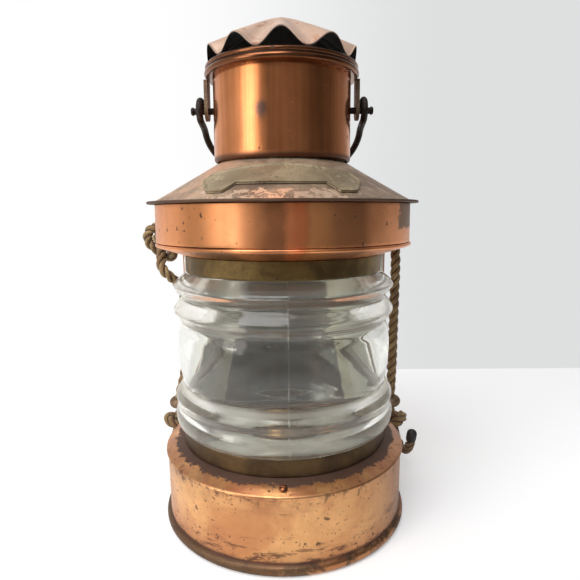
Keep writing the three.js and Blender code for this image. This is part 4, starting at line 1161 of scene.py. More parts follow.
@dataclass(frozen=True)
class LensGlass(Finish):
    """Clear pressed glass with a faint green-grey tint, smears, dust and painted sheen."""

    tint: Colour = (0.965, 0.972, 0.93, 1)
    shadow: Colour = (0.94, 0.95, 0.93, 1)
    dust: Colour = (1.0, 0.96, 0.84, 1)
    ior: float = 1.5
    longest_path: float = 3.5

    def paint(self, on: Surface) -> None:
        """Paints clear glass, with dust and painted sheen on its ribs, and a painted highlight on the ledge
        over the lower ring.

        Shadow rays, diffuse rays and light that is trapped in the glass go straight through it.

        Args:
            on: The surface.
        """
        ribs = on.most(on.rise(on.height, 0.0800, 0.0740), on.rise(on.height, 0.1060, 0.1100))
        smear = on.rise(on.noise(on.place, 45.0, 6.0, 0.7, 0.5), 0.48, 0.72)
        # Painted highlight: a rough, pale band of sheen on the ledge over the lower ring.
        ledge = on.product(on.between(on.height, 0.0728, 0.0766, 0.0006), on.rise(on.radius, 0.0535, 0.0545))
        rough = on.total(on.product(ribs, 0.09), on.product(smear, 0.05), on.product(ledge, 0.35))
        veil = on.total(0.02, on.product(on.rise(on.height, 0.101, 0.110), 0.05))
        # Dust and painted sheen: a pale veil, strongest on the ribs, that stands in for the light they
        # gather.
        dust = on.product(on.total(on.product(ribs, 0.55), veil), on.total(0.6, on.product(smear, 0.9)))
        on.colour = self.tint
        on.finish(on.total(0.012, rough), 0.0, {
            "Transmission Weight": 1.0, "IOR": self.ior, "Sheen Weight": on.most(dust, ledge),
            "Sheen Roughness": 0.6, "Sheen Tint": self.dust})
        on.bump(on.noise(on.scaled(on.place, 1.0, 1.0, 2.0), 42.0, 3.0), 0.0004, 0.2)
        path = on.node("LightPath").outputs
        trapped = on.math("GREATER_THAN", path["Ray Depth"], self.longest_path)
        open_way = on.most(path["Is Shadow Ray"], path["Is Diffuse Ray"], trapped)
        clear = on.node("BsdfTransparent", {"Color": self.shadow})
        either = on.node("MixShader", {0: open_way, 1: on.shader.outputs[0], 2: clear.outputs[0]})
        on.feed(on.tree.nodes["Material Output"].inputs["Surface"], either.outputs[0])


@dataclass(frozen=True)
class Weathered(Finish):
    """Plain weathered stuff with a mottled tone: cork, cotton, tape, brass or tinned sheet out of sight."""

    light: Colour = (0.5, 0.4, 0.3, 1)
    dark: Colour = (0.3, 0.2, 0.15, 1)
    roughness: float = 0.8
    metallic: float = 0.0
    grain: float = 300.0

    def paint(self, on: Surface) -> None:
        """Lays dark specks over the mottle.

        Args:
            on: The surface.
        """
        tone = on.patches(self.grain * 0.3, 6.0, 0.65, 0.35, 0.65)
        on.colour = on.mix(tone, self.dark, self.light)
        on.lay(self.dark, on.pits(self.grain, 0.3, 0.35), 0.5)
        on.finish(on.total(self.roughness - 0.06, on.product(tone, 0.12)), self.metallic)
        on.bump(on.noise(on.place, self.grain * 2.0, 4.0), 0.0001, 0.4)


@dataclass(frozen=True)
class LaidHemp(Finish):
    """Hemp rope: yarn lines along each strand, painted shade between the strands, uneven tone along its
    length.
    """

    light: Colour = (0.50, 0.36, 0.175, 1)
    shade: Colour = (0.20, 0.115, 0.048, 1)
    frayed: Colour = (0.72, 0.55, 0.32, 1)
    groove: Colour = (0.055, 0.027, 0.011, 1)

    def paint(self, on: Surface) -> None:
        """Lays the yarns, the fray and the painted shade in the grooves by the rope's own attributes.

        Args:
            on: The surface.
        """
        along, strand = on.attribute("along"), on.attribute("strand")
        twist = on.total(on.product(strand, 3.2), on.product(along, 700.0))
        way = on.node("CombineXYZ", {0: twist, 1: on.product(along, 60.0), 2: on.product(strand, 0.6)})
        yarn = on.noise(way.outputs[0], 1.6, 4.0, 0.6)
        fray = on.noise(on.place, 900.0, 5.0, 0.7)
        on.colour = on.mix(on.patches(70.0, 5.0, 0.6, 0.35, 0.68), self.shade, self.light)
        on.lay(self.shade, on.rise(yarn, 0.62, 0.36))
        on.lay(self.frayed, on.rise(fray, 0.5, 0.75), 0.35)
        # Painted shade: darker the deeper a point lies between the strands.
        on.lay(self.groove, on.rise(on.attribute("depth"), 0.35, 0.95))
        on.finish(on.total(0.78, on.product(fray, 0.15)), 0.0, {"Sheen Weight": 0.25})
        on.bump(on.total(yarn, on.product(fray, 0.5)), 0.0004, 0.8)


class Palette:
    """Every finish of the lantern, built once."""

    def __init__(self, effects: Effects) -> None:
        """Builds the materials.

        Args:
            effects: The shared node groups.
        """
        self.base = BaseCopper("base_copper", bright=(0.93, 0.53, 0.235, 1), warm=(0.62, 0.28, 0.12, 1),
                               pit_scale=210.0, pit_share=0.34, pit_size=0.26, polish=0.27,
                               stain_level=0.7).build(effects)
        self.roof = RoofCopper("roof_copper", soot_inside=True).build(effects)
        self.drum = DrumCopper("drum_copper", bright=(1.0, 0.46, 0.22, 1), warm=(0.84, 0.36, 0.16, 1),
                               pit_scale=320.0, pit_share=0.16, stain_level=0.8, polish=0.29).build(effects)
        self.chimney = ChimneyCopper(
            "chimney_copper", bright=(0.80, 0.32, 0.135, 1), warm=(0.66, 0.245, 0.093, 1), pit_scale=300.0,
            pit_share=0.02, stain_level=0.86, polish=0.17, spread=0.10, soot_inside=True).build(effects)
        self.collar = CollarCopper(
            "collar_copper", bright=(0.27, 0.105, 0.046, 1), warm=(0.13, 0.05, 0.025, 1), pit_share=0.12,
            stain_level=0.6, polish=0.15, spread=0.12).build(effects)
        self.crown = WornCopper("crown_copper", bright=(0.82, 0.59, 0.46, 1), warm=(0.66, 0.45, 0.34, 1),
                                stain=(0.42, 0.20, 0.11, 1), pit_share=0.15, stain_level=0.60, polish=0.40,
                                soot_inside=True).build(effects)
        self.ring = TarnishedBrass("ring_brass").build(effects)
        self.low_ring = TarnishedBrass("low_ring_brass", film=(0.135, 0.083, 0.037, 1),
                                       deep=(0.07, 0.043, 0.022, 1), rub=(0.30, 0.2, 0.09, 1)).build(effects)
        self.plate = TarnishedBrass("plate_brass", film=(0.40, 0.33, 0.215, 1), deep=(0.24, 0.19, 0.12, 1),
                                    rub=(0.58, 0.48, 0.31, 1), rub_level=0.62, roughness=0.55,
                                    metallic=0.45).build(effects)
        self.iron = DarkMetal("bail_iron").build(effects)
        self.strap = DarkMetal("strap_copper", base=(0.19, 0.13, 0.085, 1), rub=(0.36, 0.25, 0.16, 1),
                               roughness=0.5, metallic=0.85).build(effects)
        self.shield = SootAndReflectionTin("shield_sheet").build(effects)
        self.glass = LensGlass("lens_glass").build(effects)
        self.brass = Weathered("burner_brass", light=(0.40, 0.24, 0.09, 1), dark=(0.14, 0.075, 0.03, 1),
                               roughness=0.42, metallic=1.0, grain=420.0).build(effects)
        self.tin = Weathered("font_tin", light=(0.86, 0.85, 0.80, 1), dark=(0.62, 0.60, 0.54, 1),
                             roughness=0.42, metallic=0.35, grain=240.0).build(effects)
        self.cork = Weathered("packing_cork", light=(0.36, 0.22, 0.11, 1), dark=(0.16, 0.09, 0.045, 1),
                              grain=700.0).build(effects)
        self.cotton = Weathered("wick_cotton", light=(0.62, 0.55, 0.42, 1), dark=(0.3, 0.25, 0.18, 1),
                                roughness=0.9, grain=1400.0).build(effects)
        self.rope = LaidHemp("laid_hemp").build(effects)
        self.tape = Weathered("whipping_tape", light=(0.035, 0.032, 0.034, 1), dark=(0.014, 0.012, 0.012, 1),
                              roughness=0.55, grain=900.0).build(effects)


@dataclass
class Base:
    """Base drum with its wired foot, waist bead and shoulder, and the screw on it."""

    palette: Palette
    foot_radius: float = 2.9
    waist_radius: float = 1.35
    dent: float = 0.32
    screw_radius: float = 1.9
    screw_height: float = 1.1
    screw_inset: float = 3.4
    slot_depth: float = 0.45
    slot_half_width: float = 0.28

    def shell(self) -> None:
        """The copper shell: a turned wall with slow dents and a lapped seam at the back."""
        inner = H.base_radius - H.sheet
        foot = (H.base_radius + 2 - self.foot_radius, self.foot_radius)
        foot_end = float(np.degrees(np.arccos((H.base_radius - foot[0]) / self.foot_radius)))
        waist = (H.base_radius + 1 - self.waist_radius, H.base_top - self.waist_radius)
        waist_end = float(np.degrees(np.arccos((H.base_radius - waist[0]) / self.waist_radius)))
        outline = outline_of(
            marked((inner, 0)), arc(foot, self.foot_radius, -90, foot_end, 16),
            arc(waist, self.waist_radius, -waist_end, waist_end, 10), (H.shoulder_inner, H.shoulder_top),
            (49.5, H.shoulder_top), marked((49.5, H.shoulder_top - H.sheet), (56, H.shoulder_top - H.sheet),
                                           (inner, H.base_top - H.sheet)))

        def offset(angle: Array, height: Array) -> Array:
            """Dents that fade at the foot and the shoulder, plus the seam.

            Args:
                angle: Angle round the axis.
                height: Height of each point.

            Returns:
                Radial offsets.
            """
            fade = np.clip(height / 8, 0, 1) * np.clip((41 - height) / 6, 0, 1)
            return fade * (dents(angle, height, 7, self.dent) - self.dent * 0.3
                           + lap_seam(angle, np.pi, 0.07, 0.4))

        piece = turned("base_sheet", softened(outline, 0.25, 1.6), self.palette.base, 256, offset)
        dress(piece, "copper", "base_shell")

    def screw(self) -> None:
        """Round-headed screw with a slot: a dome whose height drops along one line."""
        tilt = np.arctan((H.shoulder_top - H.base_top) / (H.base_radius - H.shoulder_inner))
        place = H.base_radius - self.screw_inset
        turn, along = np.meshgrid(around(72), np.linspace(0, np.pi / 2, 22)[1:], indexing="ij")
        reach = self.screw_radius * np.sin(along)
        x, y = reach * np.cos(turn), reach * np.sin(turn)
        to_middle = np.abs(y * 0.94 + x * 0.34)
        slot = self.slot_depth / (1 + np.exp((to_middle - self.slot_half_width) / 0.03))
        z = np.maximum(self.screw_height * np.cos(along) - slot * (reach < self.screw_radius - 0.02), 0)
        local, faces = poled(np.stack([x, y, z], -1),
                             [[0, 0, self.screw_height - self.slot_depth], [0, 0, 0]])
        points = local @ turn_about_x(tilt) + [0, -place, H.shoulder_at(place) + H.gap / np.cos(tilt)]
        piece = mesh_object("shoulder_screw_head", points, faces, self.palette.collar)
        dress(piece, "dark_copper", "shoulder_screw")

    def build(self) -> None:
        """Builds the base's pieces."""
        self.shell()
        self.screw()


@dataclass
class Lens:
    """Glass barrel with its two brass rings and the sheet behind it."""

    palette: Palette
    radius: float = 60.0
    seam_angle: float = 0.05
    shield_radius: float = 63.4
    shield_half_angle: float = 67.5
    shield_edge: float = 1.5

    def barrel(self) -> None:
        """The lens: ribs drawn by a smooth curve through the outline's shares, with a fine mould seam."""
        shares = np.array([
            (0.96, 0), (0.987, 0.022), (1, 0.076), (0.977, 0.14), (0.992, 0.197), (0.96, 0.243),
            (0.932, 0.286), (0.95, 0.386), (0.96, 0.51), (0.948, 0.625), (0.927, 0.684), (0.957, 0.724),
            (0.987, 0.76), (0.96, 0.801), (0.918, 0.847), (0.957, 0.887), (0.983, 0.918), (0.957, 0.949),
            (0.873, 1)])
        ribs = catmull_rom(shares * [self.radius, H.lens_span] + [0, H.lens_bottom], 7)
        top = H.lens_bottom + H.lens_span
        bore = self.radius * 0.867
        outline = outline_of(
            (51.2, 46.9), (54.7, 46.9), (54.7, H.lens_bottom - 0.2), ribs, (50.9, top + 0.4), (50.9, 141.0),
            (47.9, 141.0), (47.9, top), (bore, H.lens_bottom + H.lens_span * 0.9),
            (bore, H.lens_bottom + H.lens_span * 0.06), (51.2, H.lens_bottom))
        even = around(240)
        fine = (self.seam_angle + np.radians(np.linspace(-1.2, 1.2, 13))) % FULL_TURN
        angles = np.unique(np.concatenate([even, fine]).round(6))

        def offset(angle: Array, height: Array) -> Array:
            """Slow unevenness of pressed glass and the thin ridge of its mould seam.

            Args:
                angle: Angle round the axis.
                height: Height of each point.

            Returns:
                Radial offsets.
            """
            off = (angle - self.seam_angle + np.pi) % FULL_TURN - np.pi
            ridge = 0.12 * np.exp(-((off / 0.005) ** 2)) * (height > 53)
            return dents(angle, height * 2, 11, 0.16) - 0.08 + ridge

        piece = turned("lens_barrel", softened(outline, 0.35, 1.5), self.palette.glass, offset=offset,
                       angles=angles)
        dress(piece, "lens_glass", "glass_lens")

    def rings(self) -> None:
        """The two brass rings with soft edges."""
        lower = outline_of((50.6, 43.8), (56, 43.8), (56, 51.4), (55.7, 52.9), (55, 52.9), (55, 44.8),
                           (50.6, 44.8))
        upper = outline_of((51.2, 135.1), (51.9, 135.1), (52.2, 136), (52.2, 144.1), (46.8, 144.1),
                           (46.8, 143.1), (51.2, 143.1))
        for name, outline, node, finish in (
                ("lens_ring_lower", lower, "lower_glass_ring", self.palette.low_ring),
                ("lens_ring_upper", upper, "upper_glass_ring", self.palette.ring)):
            piece = turned(name, softened(outline, 0.3, 1.6), finish, 192,
                           lambda angle, height: dents(angle, height, 5, 0.1) - 0.06)
            dress(piece, "olive_brass", node)

    def shield(self) -> None:
        """The rear sheet: a curved strip whose two upright edges are rolled round a wire."""
        middle = self.shield_radius - H.sheet / 2
        start = np.radians(90 - self.shield_half_angle)
        end = np.radians(90 + self.shield_half_angle)
        edge = np.arcsin(H.sheet / 2 / self.shield_edge)
        clear = np.arcsin(self.shield_edge * np.cos(edge) / middle)

        def polar(radius: float, angle: Array) -> Array:
            """Points at a radius and angles."""
            return np.stack([radius * np.cos(angle), radius * np.sin(angle)], 1)

        def roll(at_angle: float, first: float) -> Array:
            """Circle of the rolled edge, from one face of the sheet to the other."""
            turn = first + edge + np.linspace(0, FULL_TURN - 2 * edge, 19)
            return polar(middle, np.array([at_angle])) + polar(self.shield_edge, turn)

        inner = np.linspace(start + clear, end - clear, 74)[1:-1]
        outline = np.vstack([polar(self.shield_radius, inner), roll(end, end - np.pi / 2),
                             polar(self.shield_radius - H.sheet, inner[::-1]),
                             roll(start, start + np.pi / 2)])
        piece = prism("shield_sheet_rear", outline, 41.73, 146.7, self.palette.shield, 30)
        dress(piece, "copper", "back_shield")

    def build(self) -> None:
        """Builds the lens's pieces."""
        self.barrel()
        self.rings()
        self.shield()


@dataclass
class Canopy:
    """Floor plate, drum and conical roof, with the bare ribbon plate on the roof's front."""

    palette: Palette
    plate_thickness: float = 1.2
    plate_half_angle: float = 41.0
    plate_rim: float = 0.5
    plate_low: float = 55.8
    plate_tail: float = 62.4
    plate_heel: float = 54.0
    plate_high: float = 40.0
    fold_at: float = 0.5

    def floor(self) -> None:
        """The floor plate with its rolled outer edge, a little uneven as hand-dressed sheet is."""
        edge = (66.5, 149.5)
        outline = outline_of((47.5, 144.4), (53, 144.4), (65.6, 148.23), arc(edge, 0.9, -90, 90, 10),
                             (65.6, 149.13), (53, 145.3), (47.5, 145.3))
        piece = turned("canopy_floor_plate", softened(outline, 0.2, 1.6), self.palette.drum, 240,
                       lambda angle, height: (dents(angle * 2, height * 0, 23, 0.3) - 0.1)
                       * np.clip((height - 146) / 3, 0, 1))
        dress(piece, "copper", "canopy_floor")

    def drum(self) -> None:
        """The drum's wall with slow dents and a lapped seam at the back."""
        outline = outline_of(marked((65.9, 150.7)), (66.8, 150.7), (66.8, 169.6), marked((65.9, 169.6)))
        piece = turned("canopy_drum_wall", softened(outline, 0.25, 1.5), self.palette.drum, 256,
                       lambda angle, height: dents(angle, height, 3, 0.3) - 0.16
                       + lap_seam(angle, np.pi, 0.06, 0.35))
        dress(piece, "copper", "canopy_drum")

    def roof(self) -> None:
        """The cone with its wired brim and the short neck inside the chimney."""
        outline = outline_of(
            marked((65.6, 169.9)), arc((69.95, 170.55), 0.65, -90, 90, 10), (H.roof_foot_radius, H.roof_foot),
            (33.3, H.roof_at(33.3)), (32.2, H.roof_at(32.2)), (32.2, 196.38),
            marked((31.3, 196.38), (31.3, 190.48), (65.6, 170.77)))
        piece = turned("canopy_cone", softened(outline, 0.3, 1.8), self.palette.roof, 240,
                       lambda angle, height: (dents(angle, height, 17, 0.5) - 0.25)
                       * np.clip((height - 171.5) / 4, 0, 1) * np.clip((189 - height) / 4, 0, 1))
        dress(piece, "dark_copper", "canopy_roof")

    def on_roof(self, angle: Array, radius: Array, height: Array) -> Array:
        """Places on the roof: the cone's point at a radius, lifted along its normal by a height.

        Args:
            angle: Angle round the axis, nought at the front.
            radius: Radius on the cone.
            height: Height over the cone.

        Returns:
            The points, with x, y and z along the last axis.
        """
        tilt = np.arctan(H.roof_slope)
        reach = radius + height * np.sin(tilt)
        level = H.roof_at(radius) + height * np.cos(tilt)
        return np.stack([reach * np.sin(angle), -reach * np.cos(angle), level], -1)

    def plate(self) -> None:
        """The bare ribbon plate: a panel with a raised rim and two ends that fold down and back.

        Its lower edge is the panel's radius, falls to the tails past the fold and comes back at the heel.
        """
        u = np.linspace(-1, 1, 260)
        reach = np.abs(u)
        fall = np.clip((reach - self.fold_at) / 0.08, 0, 1)
        back = np.clip((reach - 0.76) / 0.24, 0, 1)
        low = (self.plate_low + (self.plate_tail - self.plate_low) * fall
               + (self.plate_heel - self.plate_tail) * back)
        high = self.plate_high + 7.5 * u**2
        uu, vv = np.meshgrid(u, np.linspace(0, 1, 34), indexing="ij")
        radius = high[:, None] + (low - high)[:, None] * vv
        angle = uu * np.radians(self.plate_half_angle)
        to_side = (1 - np.abs(uu)) * np.radians(self.plate_half_angle) * radius
        to_end = np.minimum(radius - high[:, None], low[:, None] - radius)
        margin = np.minimum(to_side, to_end)
        rim = self.plate_rim / (1 + np.exp((margin - 1.35) / 0.12))
        past_fold = np.abs(uu) - self.fold_at
        crease = -0.5 * np.exp(-(((past_fold - 0.005) / 0.008) ** 2))
        fold = np.minimum(0.45 / (1 + np.exp(-past_fold / 0.006)) + crease, 0)
        grain = np.random.default_rng(31).normal(0, 1, uu.shape)
        for _ in range(3):
            grain = (grain + np.roll(grain, 1, 0) + np.roll(grain, -1, 0) + np.roll(grain, 1, 1)
                     + np.roll(grain, -1, 1)) / 5
        top = H.gap + self.plate_thickness - 0.55 + rim + 0.10 * grain + 0.35 * fold
        top = np.where(margin < 0.25, top - 0.25, top)
        upper = self.on_roof(angle, radius, np.clip(top, H.gap + 0.25, H.gap + self.plate_thickness))
        under = self.on_roof(angle, radius, np.full_like(top, H.gap))
        number = np.arange(uu.size).reshape(uu.shape)
        loop = np.concatenate([number[:, 0], number[-1, 1:], number[-2::-1, -1], number[0, -2:0:-1]])
        faces = two_sheets(grid_faces(*uu.shape, False, False), uu.size, loop[::-1])
        points = np.concatenate([upper.reshape(-1, 3), under.reshape(-1, 3)])
        piece = mesh_object("ribbon_plate", points, faces, self.palette.plate)
        dress(piece, "olive_brass", "banner_plate")

    def build(self) -> None:
        """Builds the canopy's pieces."""
        self.floor()
        self.drum()
        self.roof()
        self.plate()


@dataclass
class Chimney:
    """Chimney tube, its double-beaded collar and the fluted crown over it."""

    palette: Palette
    crown_radius: float = 38.3
    crown_height: float = 23.7
    wave_height: float = 7.3
    waves: int = 10
    crown_turn: float = 0.037
    crown_power: float = 1.25
    flute_power: float = 2.0
    crown_sheet: float = 0.7
    tube_radius: float = 35.5

    def tube(self) -> None:
        """The tube with its foot curled in on the roof."""
        curl = (self.tube_radius - 1.6, H.chimney_bottom + 1.6)
        outline = outline_of(
            arc(curl, 1.6, -90, 0, 10), (self.tube_radius, H.chimney_top),
            marked((self.tube_radius - H.sheet, H.chimney_top)),
            np.hstack([arc(curl, 0.7, 0, -90, 6), np.ones((7, 1))]))
        piece = turned("chimney_tube", softened(outline, 0.2, 1.6), self.palette.chimney, 220,
                       lambda angle, height: (dents(angle, height, 29, 0.16) - 0.06
                                              + lap_seam(angle, np.pi, 0.1, 0.3) * (height < 231))
                       * np.clip((height - 192) / 4, 0, 1))
        dress(piece, "copper", "chimney")

    def collar(self) -> None:
        """The collar: a large bead below a small one."""
        bottom, top = H.chimney_top - 5.9, H.chimney_top
        outline = outline_of((35.2, bottom), arc((37.9, bottom + 1.8), 1.8, -90, 60, 14),
                             arc((38.1, top - 1.15), 1.15, -60, 90, 12), marked((35.2, top)))
        piece = turned("chimney_collar_beads", softened(outline, 0.2, 1.2), self.palette.collar, 220,
                       lambda angle, height: (dents(angle, height, 37, 0.12) - 0.08) * (height < top - 0.2))
        dress(piece, "copper", "chimney_collar")

    def crown(self) -> None:
        """The crown: a dome whose flutes grow outwards.

        Its height at a share s of the radius is the apex less the fall times s to a power, plus half the wave
        height times s to a power times the cosine of the wave count times the angle. The arches are a little
        uneven, as hand work is, and highest at the front.
        """
        edge = H.chimney_top + H.gap
        apex = edge + self.crown_height
        rim = edge + self.wave_height / 2
        angle, share = around(360), np.linspace(0, 1, 49)[1:]
        a, s = np.meshgrid(angle, share, indexing="ij")
        bend = 0.06 * np.sin(3 * a + 1.0) + 0.05 * np.sin(2 * a + 2.5)
        wave = np.cos(self.waves * (a - self.crown_turn) + bend * 4)
        high = 1 - 0.10 * (1 - np.cos(a)) + 0.05 * np.sin(5 * a + 0.7)
        crest = np.where(wave > 0, wave * high, wave * 0.98)
        dome = apex - (apex - rim) * s**self.crown_power
        height = dome + self.wave_height / 2 * s**self.flute_power * crest
        reach = self.crown_radius * s * (1 - 0.012 * s * (1 - wave))
        under = np.stack([reach * np.sin(a), -reach * np.cos(a), height], -1).reshape(-1, 3)
        top = under + [0, 0, self.crown_sheet]
        count = len(top)
        inmost = np.arange(len(angle)) * len(share)
        outmost = inmost + len(share) - 1
        faces = two_sheets(grid_faces(*a.shape, True, False), count, outmost)
        faces += fan(2 * count, inmost[::-1]) + fan(2 * count + 1, inmost + count)
        points = np.vstack([top, under, [[0, 0, apex + self.crown_sheet], [0, 0, apex]]])
        inner = np.concatenate([np.zeros(count), np.ones(count), [0, 1]])
        piece = mesh_object("crown_dome", points, faces, self.palette.crown, {"inner": inner})
        dress(piece, "copper", "crown_cap")

    def build(self) -> None:
        """Builds the chimney's pieces."""
        self.tube()
        self.collar()
        self.crown()


@dataclass
class Bail:
    """Wire bail with a loop at each end, and the two headed pins that it turns on."""

    palette: Palette
    wire: float = 1.8
    loop: float = 5.2
    place: float = 42.3
    leg: float = 16.0
    pin_start: float = 35.2
    pin_end: float = 47.4

    def rest_angle(self) -> float:
        """Angle below the horizontal at which the bow meets the roof: the first one that leaves no gap.

        Returns:
            The angle in radians.
        """
        reach, tilt = self.leg + self.place, np.arctan(H.roof_slope)
        angle = np.linspace(0, np.pi / 2 - tilt, 20001)
        clear = (H.pivot - reach * np.sin(angle) - H.roof_at(reach * np.cos(angle))) * np.cos(tilt)
        return float(angle[np.argmax(clear - self.wire - H.gap <= 0)])

    def handle(self) -> None:
        """The bail: a half circle of wire between two legs that end in loops."""
        shares = np.array([(48, 1), (90, 1), (135, 1), (180, 1), (225, 1), (270, 1), (312, 1.05), (342, 1.5),
                           (356, 2.2), (360, 2.85)])
        turn = np.radians(shares[:, 0])
        side = np.stack([np.full(len(turn), self.place), self.loop * shares[:, 1] * np.cos(turn),
                         self.loop * shares[:, 1] * np.sin(turn)], 1)
        leg = catmull_rom(np.vstack([side, [[self.place, self.leg, 0]]]), 8)
        sweep = np.linspace(0, np.pi, 90)[1:-1]
        bow = np.stack([self.place * np.cos(sweep), self.leg + self.place * np.sin(sweep), 0 * sweep], 1)
        path = evenly(np.vstack([leg, bow, (leg * [-1, 1, 1])[::-1]]), 1.0)
        path = path @ turn_about_x(-self.rest_angle()) + [0, 0, H.pivot]
        places = np.arange(0, len(path) + 9, 9)
        wear = np.interp(np.arange(len(path)), places,
                         np.random.default_rng(41).uniform(-0.05, 0.0, len(places)))
        radius = np.repeat((self.wire + wear)[:, None], 24, 1)
        piece = swept("bail_wire", path, radius, self.palette.iron, cap=0.5)
        dress(piece, "iron", "bail_handle", body=Body.BAIL)

    def pins(self) -> None:
        """The pins: turned along X, each with a worn head."""
        outline = outline_of((0, self.pin_start), (1.65, self.pin_start), (1.65, 46.0), (2.1, 46.0),
                             (2.1, 46.7), (1.65, self.pin_end), (0, self.pin_end))
        body = softened(outline, 0.2, 1.2, False)[1:-1]
        turn, radius = np.meshgrid(around(40), body[:, 0], indexing="ij")
        along = np.broadcast_to(body[:, 1], radius.shape)
        for name, side in SIDES:
            grid = np.stack([along * side, radius * np.cos(turn), H.pivot + radius * np.sin(turn)], -1)
            ends = [[side * end, 0, H.pivot] for end in (self.pin_start, self.pin_end)]
            points, faces = poled(grid, ends, -1)
            piece = mesh_object(f"bail_pin_{name}", points, faces, self.palette.iron)
            dress(piece, "iron", f"pivot_pin_{name}")

    def build(self) -> None:
        """Builds the bail and its pins."""
        self.handle()
        self.pins()


@dataclass
class Rope:
    """Three-strand laid rope on its route through the guides, with three overhand knots and a taped tip."""

    palette: Palette
    radius: float = 3.0
    lay: float = 16.0
    strands: int = 3
    offset: float = 0.42
    strand: float = 0.58
    tip_length: float = 7.0
    guide: tuple[float, float, float] = (65.614, 27.178, 49.0)
    back_reach: float = 71.0
    back_height: float = 155.7

    knot_path: Array = field(default_factory=lambda: np.array([
        [0, -0.1, -10], [-0.1, 0.2, -7.4], [0, 0.8, -5], [0.5, 2.3, -2.9], [0.6, 4.3, -1.4], [-0.3, 6, 0.3],
        [-1.8, 6.9, 2.1], [-3.6, 6.8, 4], [-5.2, 5.7, 5.7], [-6.4, 3.8, 7], [-7, 1.5, 7.8], [-6.8, -1.1, 7.9],
        [-5.8, -3.4, 7.5], [-4.3, -5.2, 6.5], [-2.4, -6.2, 5.1], [-0.4, -6.3, 3.5], [1.4, -5.4, 1.8],
        [3, -4.1, 0.3], [4.7, -2.9, -1.3], [6.2, -1.6, -2.9], [6.8, 0.2, -4.6], [6.5, 2.3, -6.2],
        [5.3, 4.3, -7.3], [3.4, 5.9, -7.9], [1, 6.8, -7.9], [-1.5, 7, -7.3], [-3.7, 6.5, -6.1],
        [-5.3, 5.3, -4.4], [-6, 3.8, -2.5], [-5.8, 2.1, -0.6], [-4.6, 0.7, 1.2], [-2.6, 0.2, 2.8],
        [-1, 0.4, 4.8], [-0.3, 0.4, 7.2], [-0.2, 0.3, 9.8], [0, 0.1, 12.4]], float))

    def knot(self, middle: Sequence[float], along: Sequence[float], outward: Sequence[float],
             hand: int) -> Array:
        """The knot's path set at a place.

        Args:
            middle: The knot's middle.
            along: Direction of the rope through it.
            outward: Direction that the path's first axis takes.
            hand: 1, or -1 for its mirror image.

        Returns:
            Points of the knot's middle line.
        """
        third = np.array(along, float) / np.linalg.norm(along)
        first = np.array(outward, float) - np.dot(outward, third) * third
        first /= np.linalg.norm(first)
        axes = np.stack([first, np.cross(third, first) * hand, third])
        return np.array(middle) + self.knot_path @ axes

    def route(self) -> Array:
        """The whole way of the rope, from the lower right tip round the back to the lower left end.

        Returns:
            Points along its middle line.
        """
        gx, gy, gz = self.guide
        in_guide = np.array([[gx, gy, gz + rise] for rise in (-4.2, 0, 4.2)])
        right_tail = [(78.3, 22.6, 25.4), (78.4, 25.2, 20.9), (78.4, 28.8, 16.8), (78.2, 33.2, 13.5),
                      (77.6, 38, 11.6), (76.5, 42.2, 11.8), (75.1, 44.8, 14.2), (73.6, 45, 18)]
        right_knot = self.knot((69.4, 36.1, 31.5), (0.25, 0.55, -0.8), (1, 0, 0), 1)[::-1]
        right_rise = [(66, 27.2, 62), (66.3, 27, 80), (66.5, 27, 100), (66.7, 27, 118), (66.9, 27.2, 130),
                      (67.1, 28.8, 140), (66.4, 33, 148.5), (62, 39.5, 154.6)]
        sweep = np.radians(np.linspace(48, 132, 13))
        back = np.stack([self.back_reach * np.cos(sweep), self.back_reach * np.sin(sweep),
                         np.full(13, self.back_height)], 1)
        approach = [(-54, 47.7, 156.2), (-61.5, 47, 157.8), (-68.5, 46.4, 159.6), (-74, 44.4, 160.4),
                    (-76.7, 40.4, 158.6)]
        upper_knot = self.knot((-74.5, 30, 147), (0.18, -0.62, -0.76), (-1, 0, 0), -1)
        left_fall = [(-71.8, 20.7, 134.9), (-69.9, 20.4, 131.4), (-67.2, 22.1, 128.3), (-64.8, 25.6, 124.8),
                     (-62.7, 29.5, 119.6), (-61.2, 32.4, 112), (-60.4, 34, 102), (-60.4, 34.1, 90),
                     (-61.4, 32.8, 76), (-63.4, 30.2, 64)]
        left_knot = self.knot((-69.4, 36.1, 31.5), (-0.25, 0.55, -0.8), (-1, 0, 0), -1)
        left_tail = [(-73.8, 44.9, 18.5), (-75, 45.6, 14), (-75.6, 45, 9.5)]
        points = np.vstack([right_tail, right_knot, in_guide, right_rise, back, approach, upper_knot,
                            left_fall, in_guide[::-1] * [-1, 1, 1], left_knot, left_tail])
        return catmull_rom(points, 24)

    def build(self) -> None:
        """Builds the laid rope, its taped tip and the barrels that guide it.

        The rope's section is the outline of three round strands of radius p whose middles lie at an offset d:
        d cos(a) plus the root of p squared less the square of d sin(a). It turns once in each lay length.
        """
        path = evenly(self.route(), 0.5)
        along = np.linspace(0, len(path) * 0.5, len(path))
        angle = around(36)
        lobe = (angle * self.strands / FULL_TURN % 1 - 0.5) * FULL_TURN / self.strands
        section = self.offset * np.cos(lobe) + np.sqrt(self.strand**2 - (self.offset * np.sin(lobe)) ** 2)
        section = section / section.max()
        places = np.arange(0, along[-1] + 12, 6)
        lumps = np.interp(along, places, np.random.default_rng(53).uniform(-0.03, 0.0, len(places)))
        radius = self.radius * (section[None, :] + lumps[:, None])
        depth = (1 - section) / (1 - section.min())
        marks = {"depth": np.tile(depth, (len(path), 1)), "strand": np.tile(lobe, (len(path), 1))}
        turn = FULL_TURN * along / self.lay
        piece = swept("hemp_rope", path, radius, self.palette.rope, turn, 0.6, marks)
        dress(piece, "hemp", "rope")
        self.tip(path)
        self.guides()

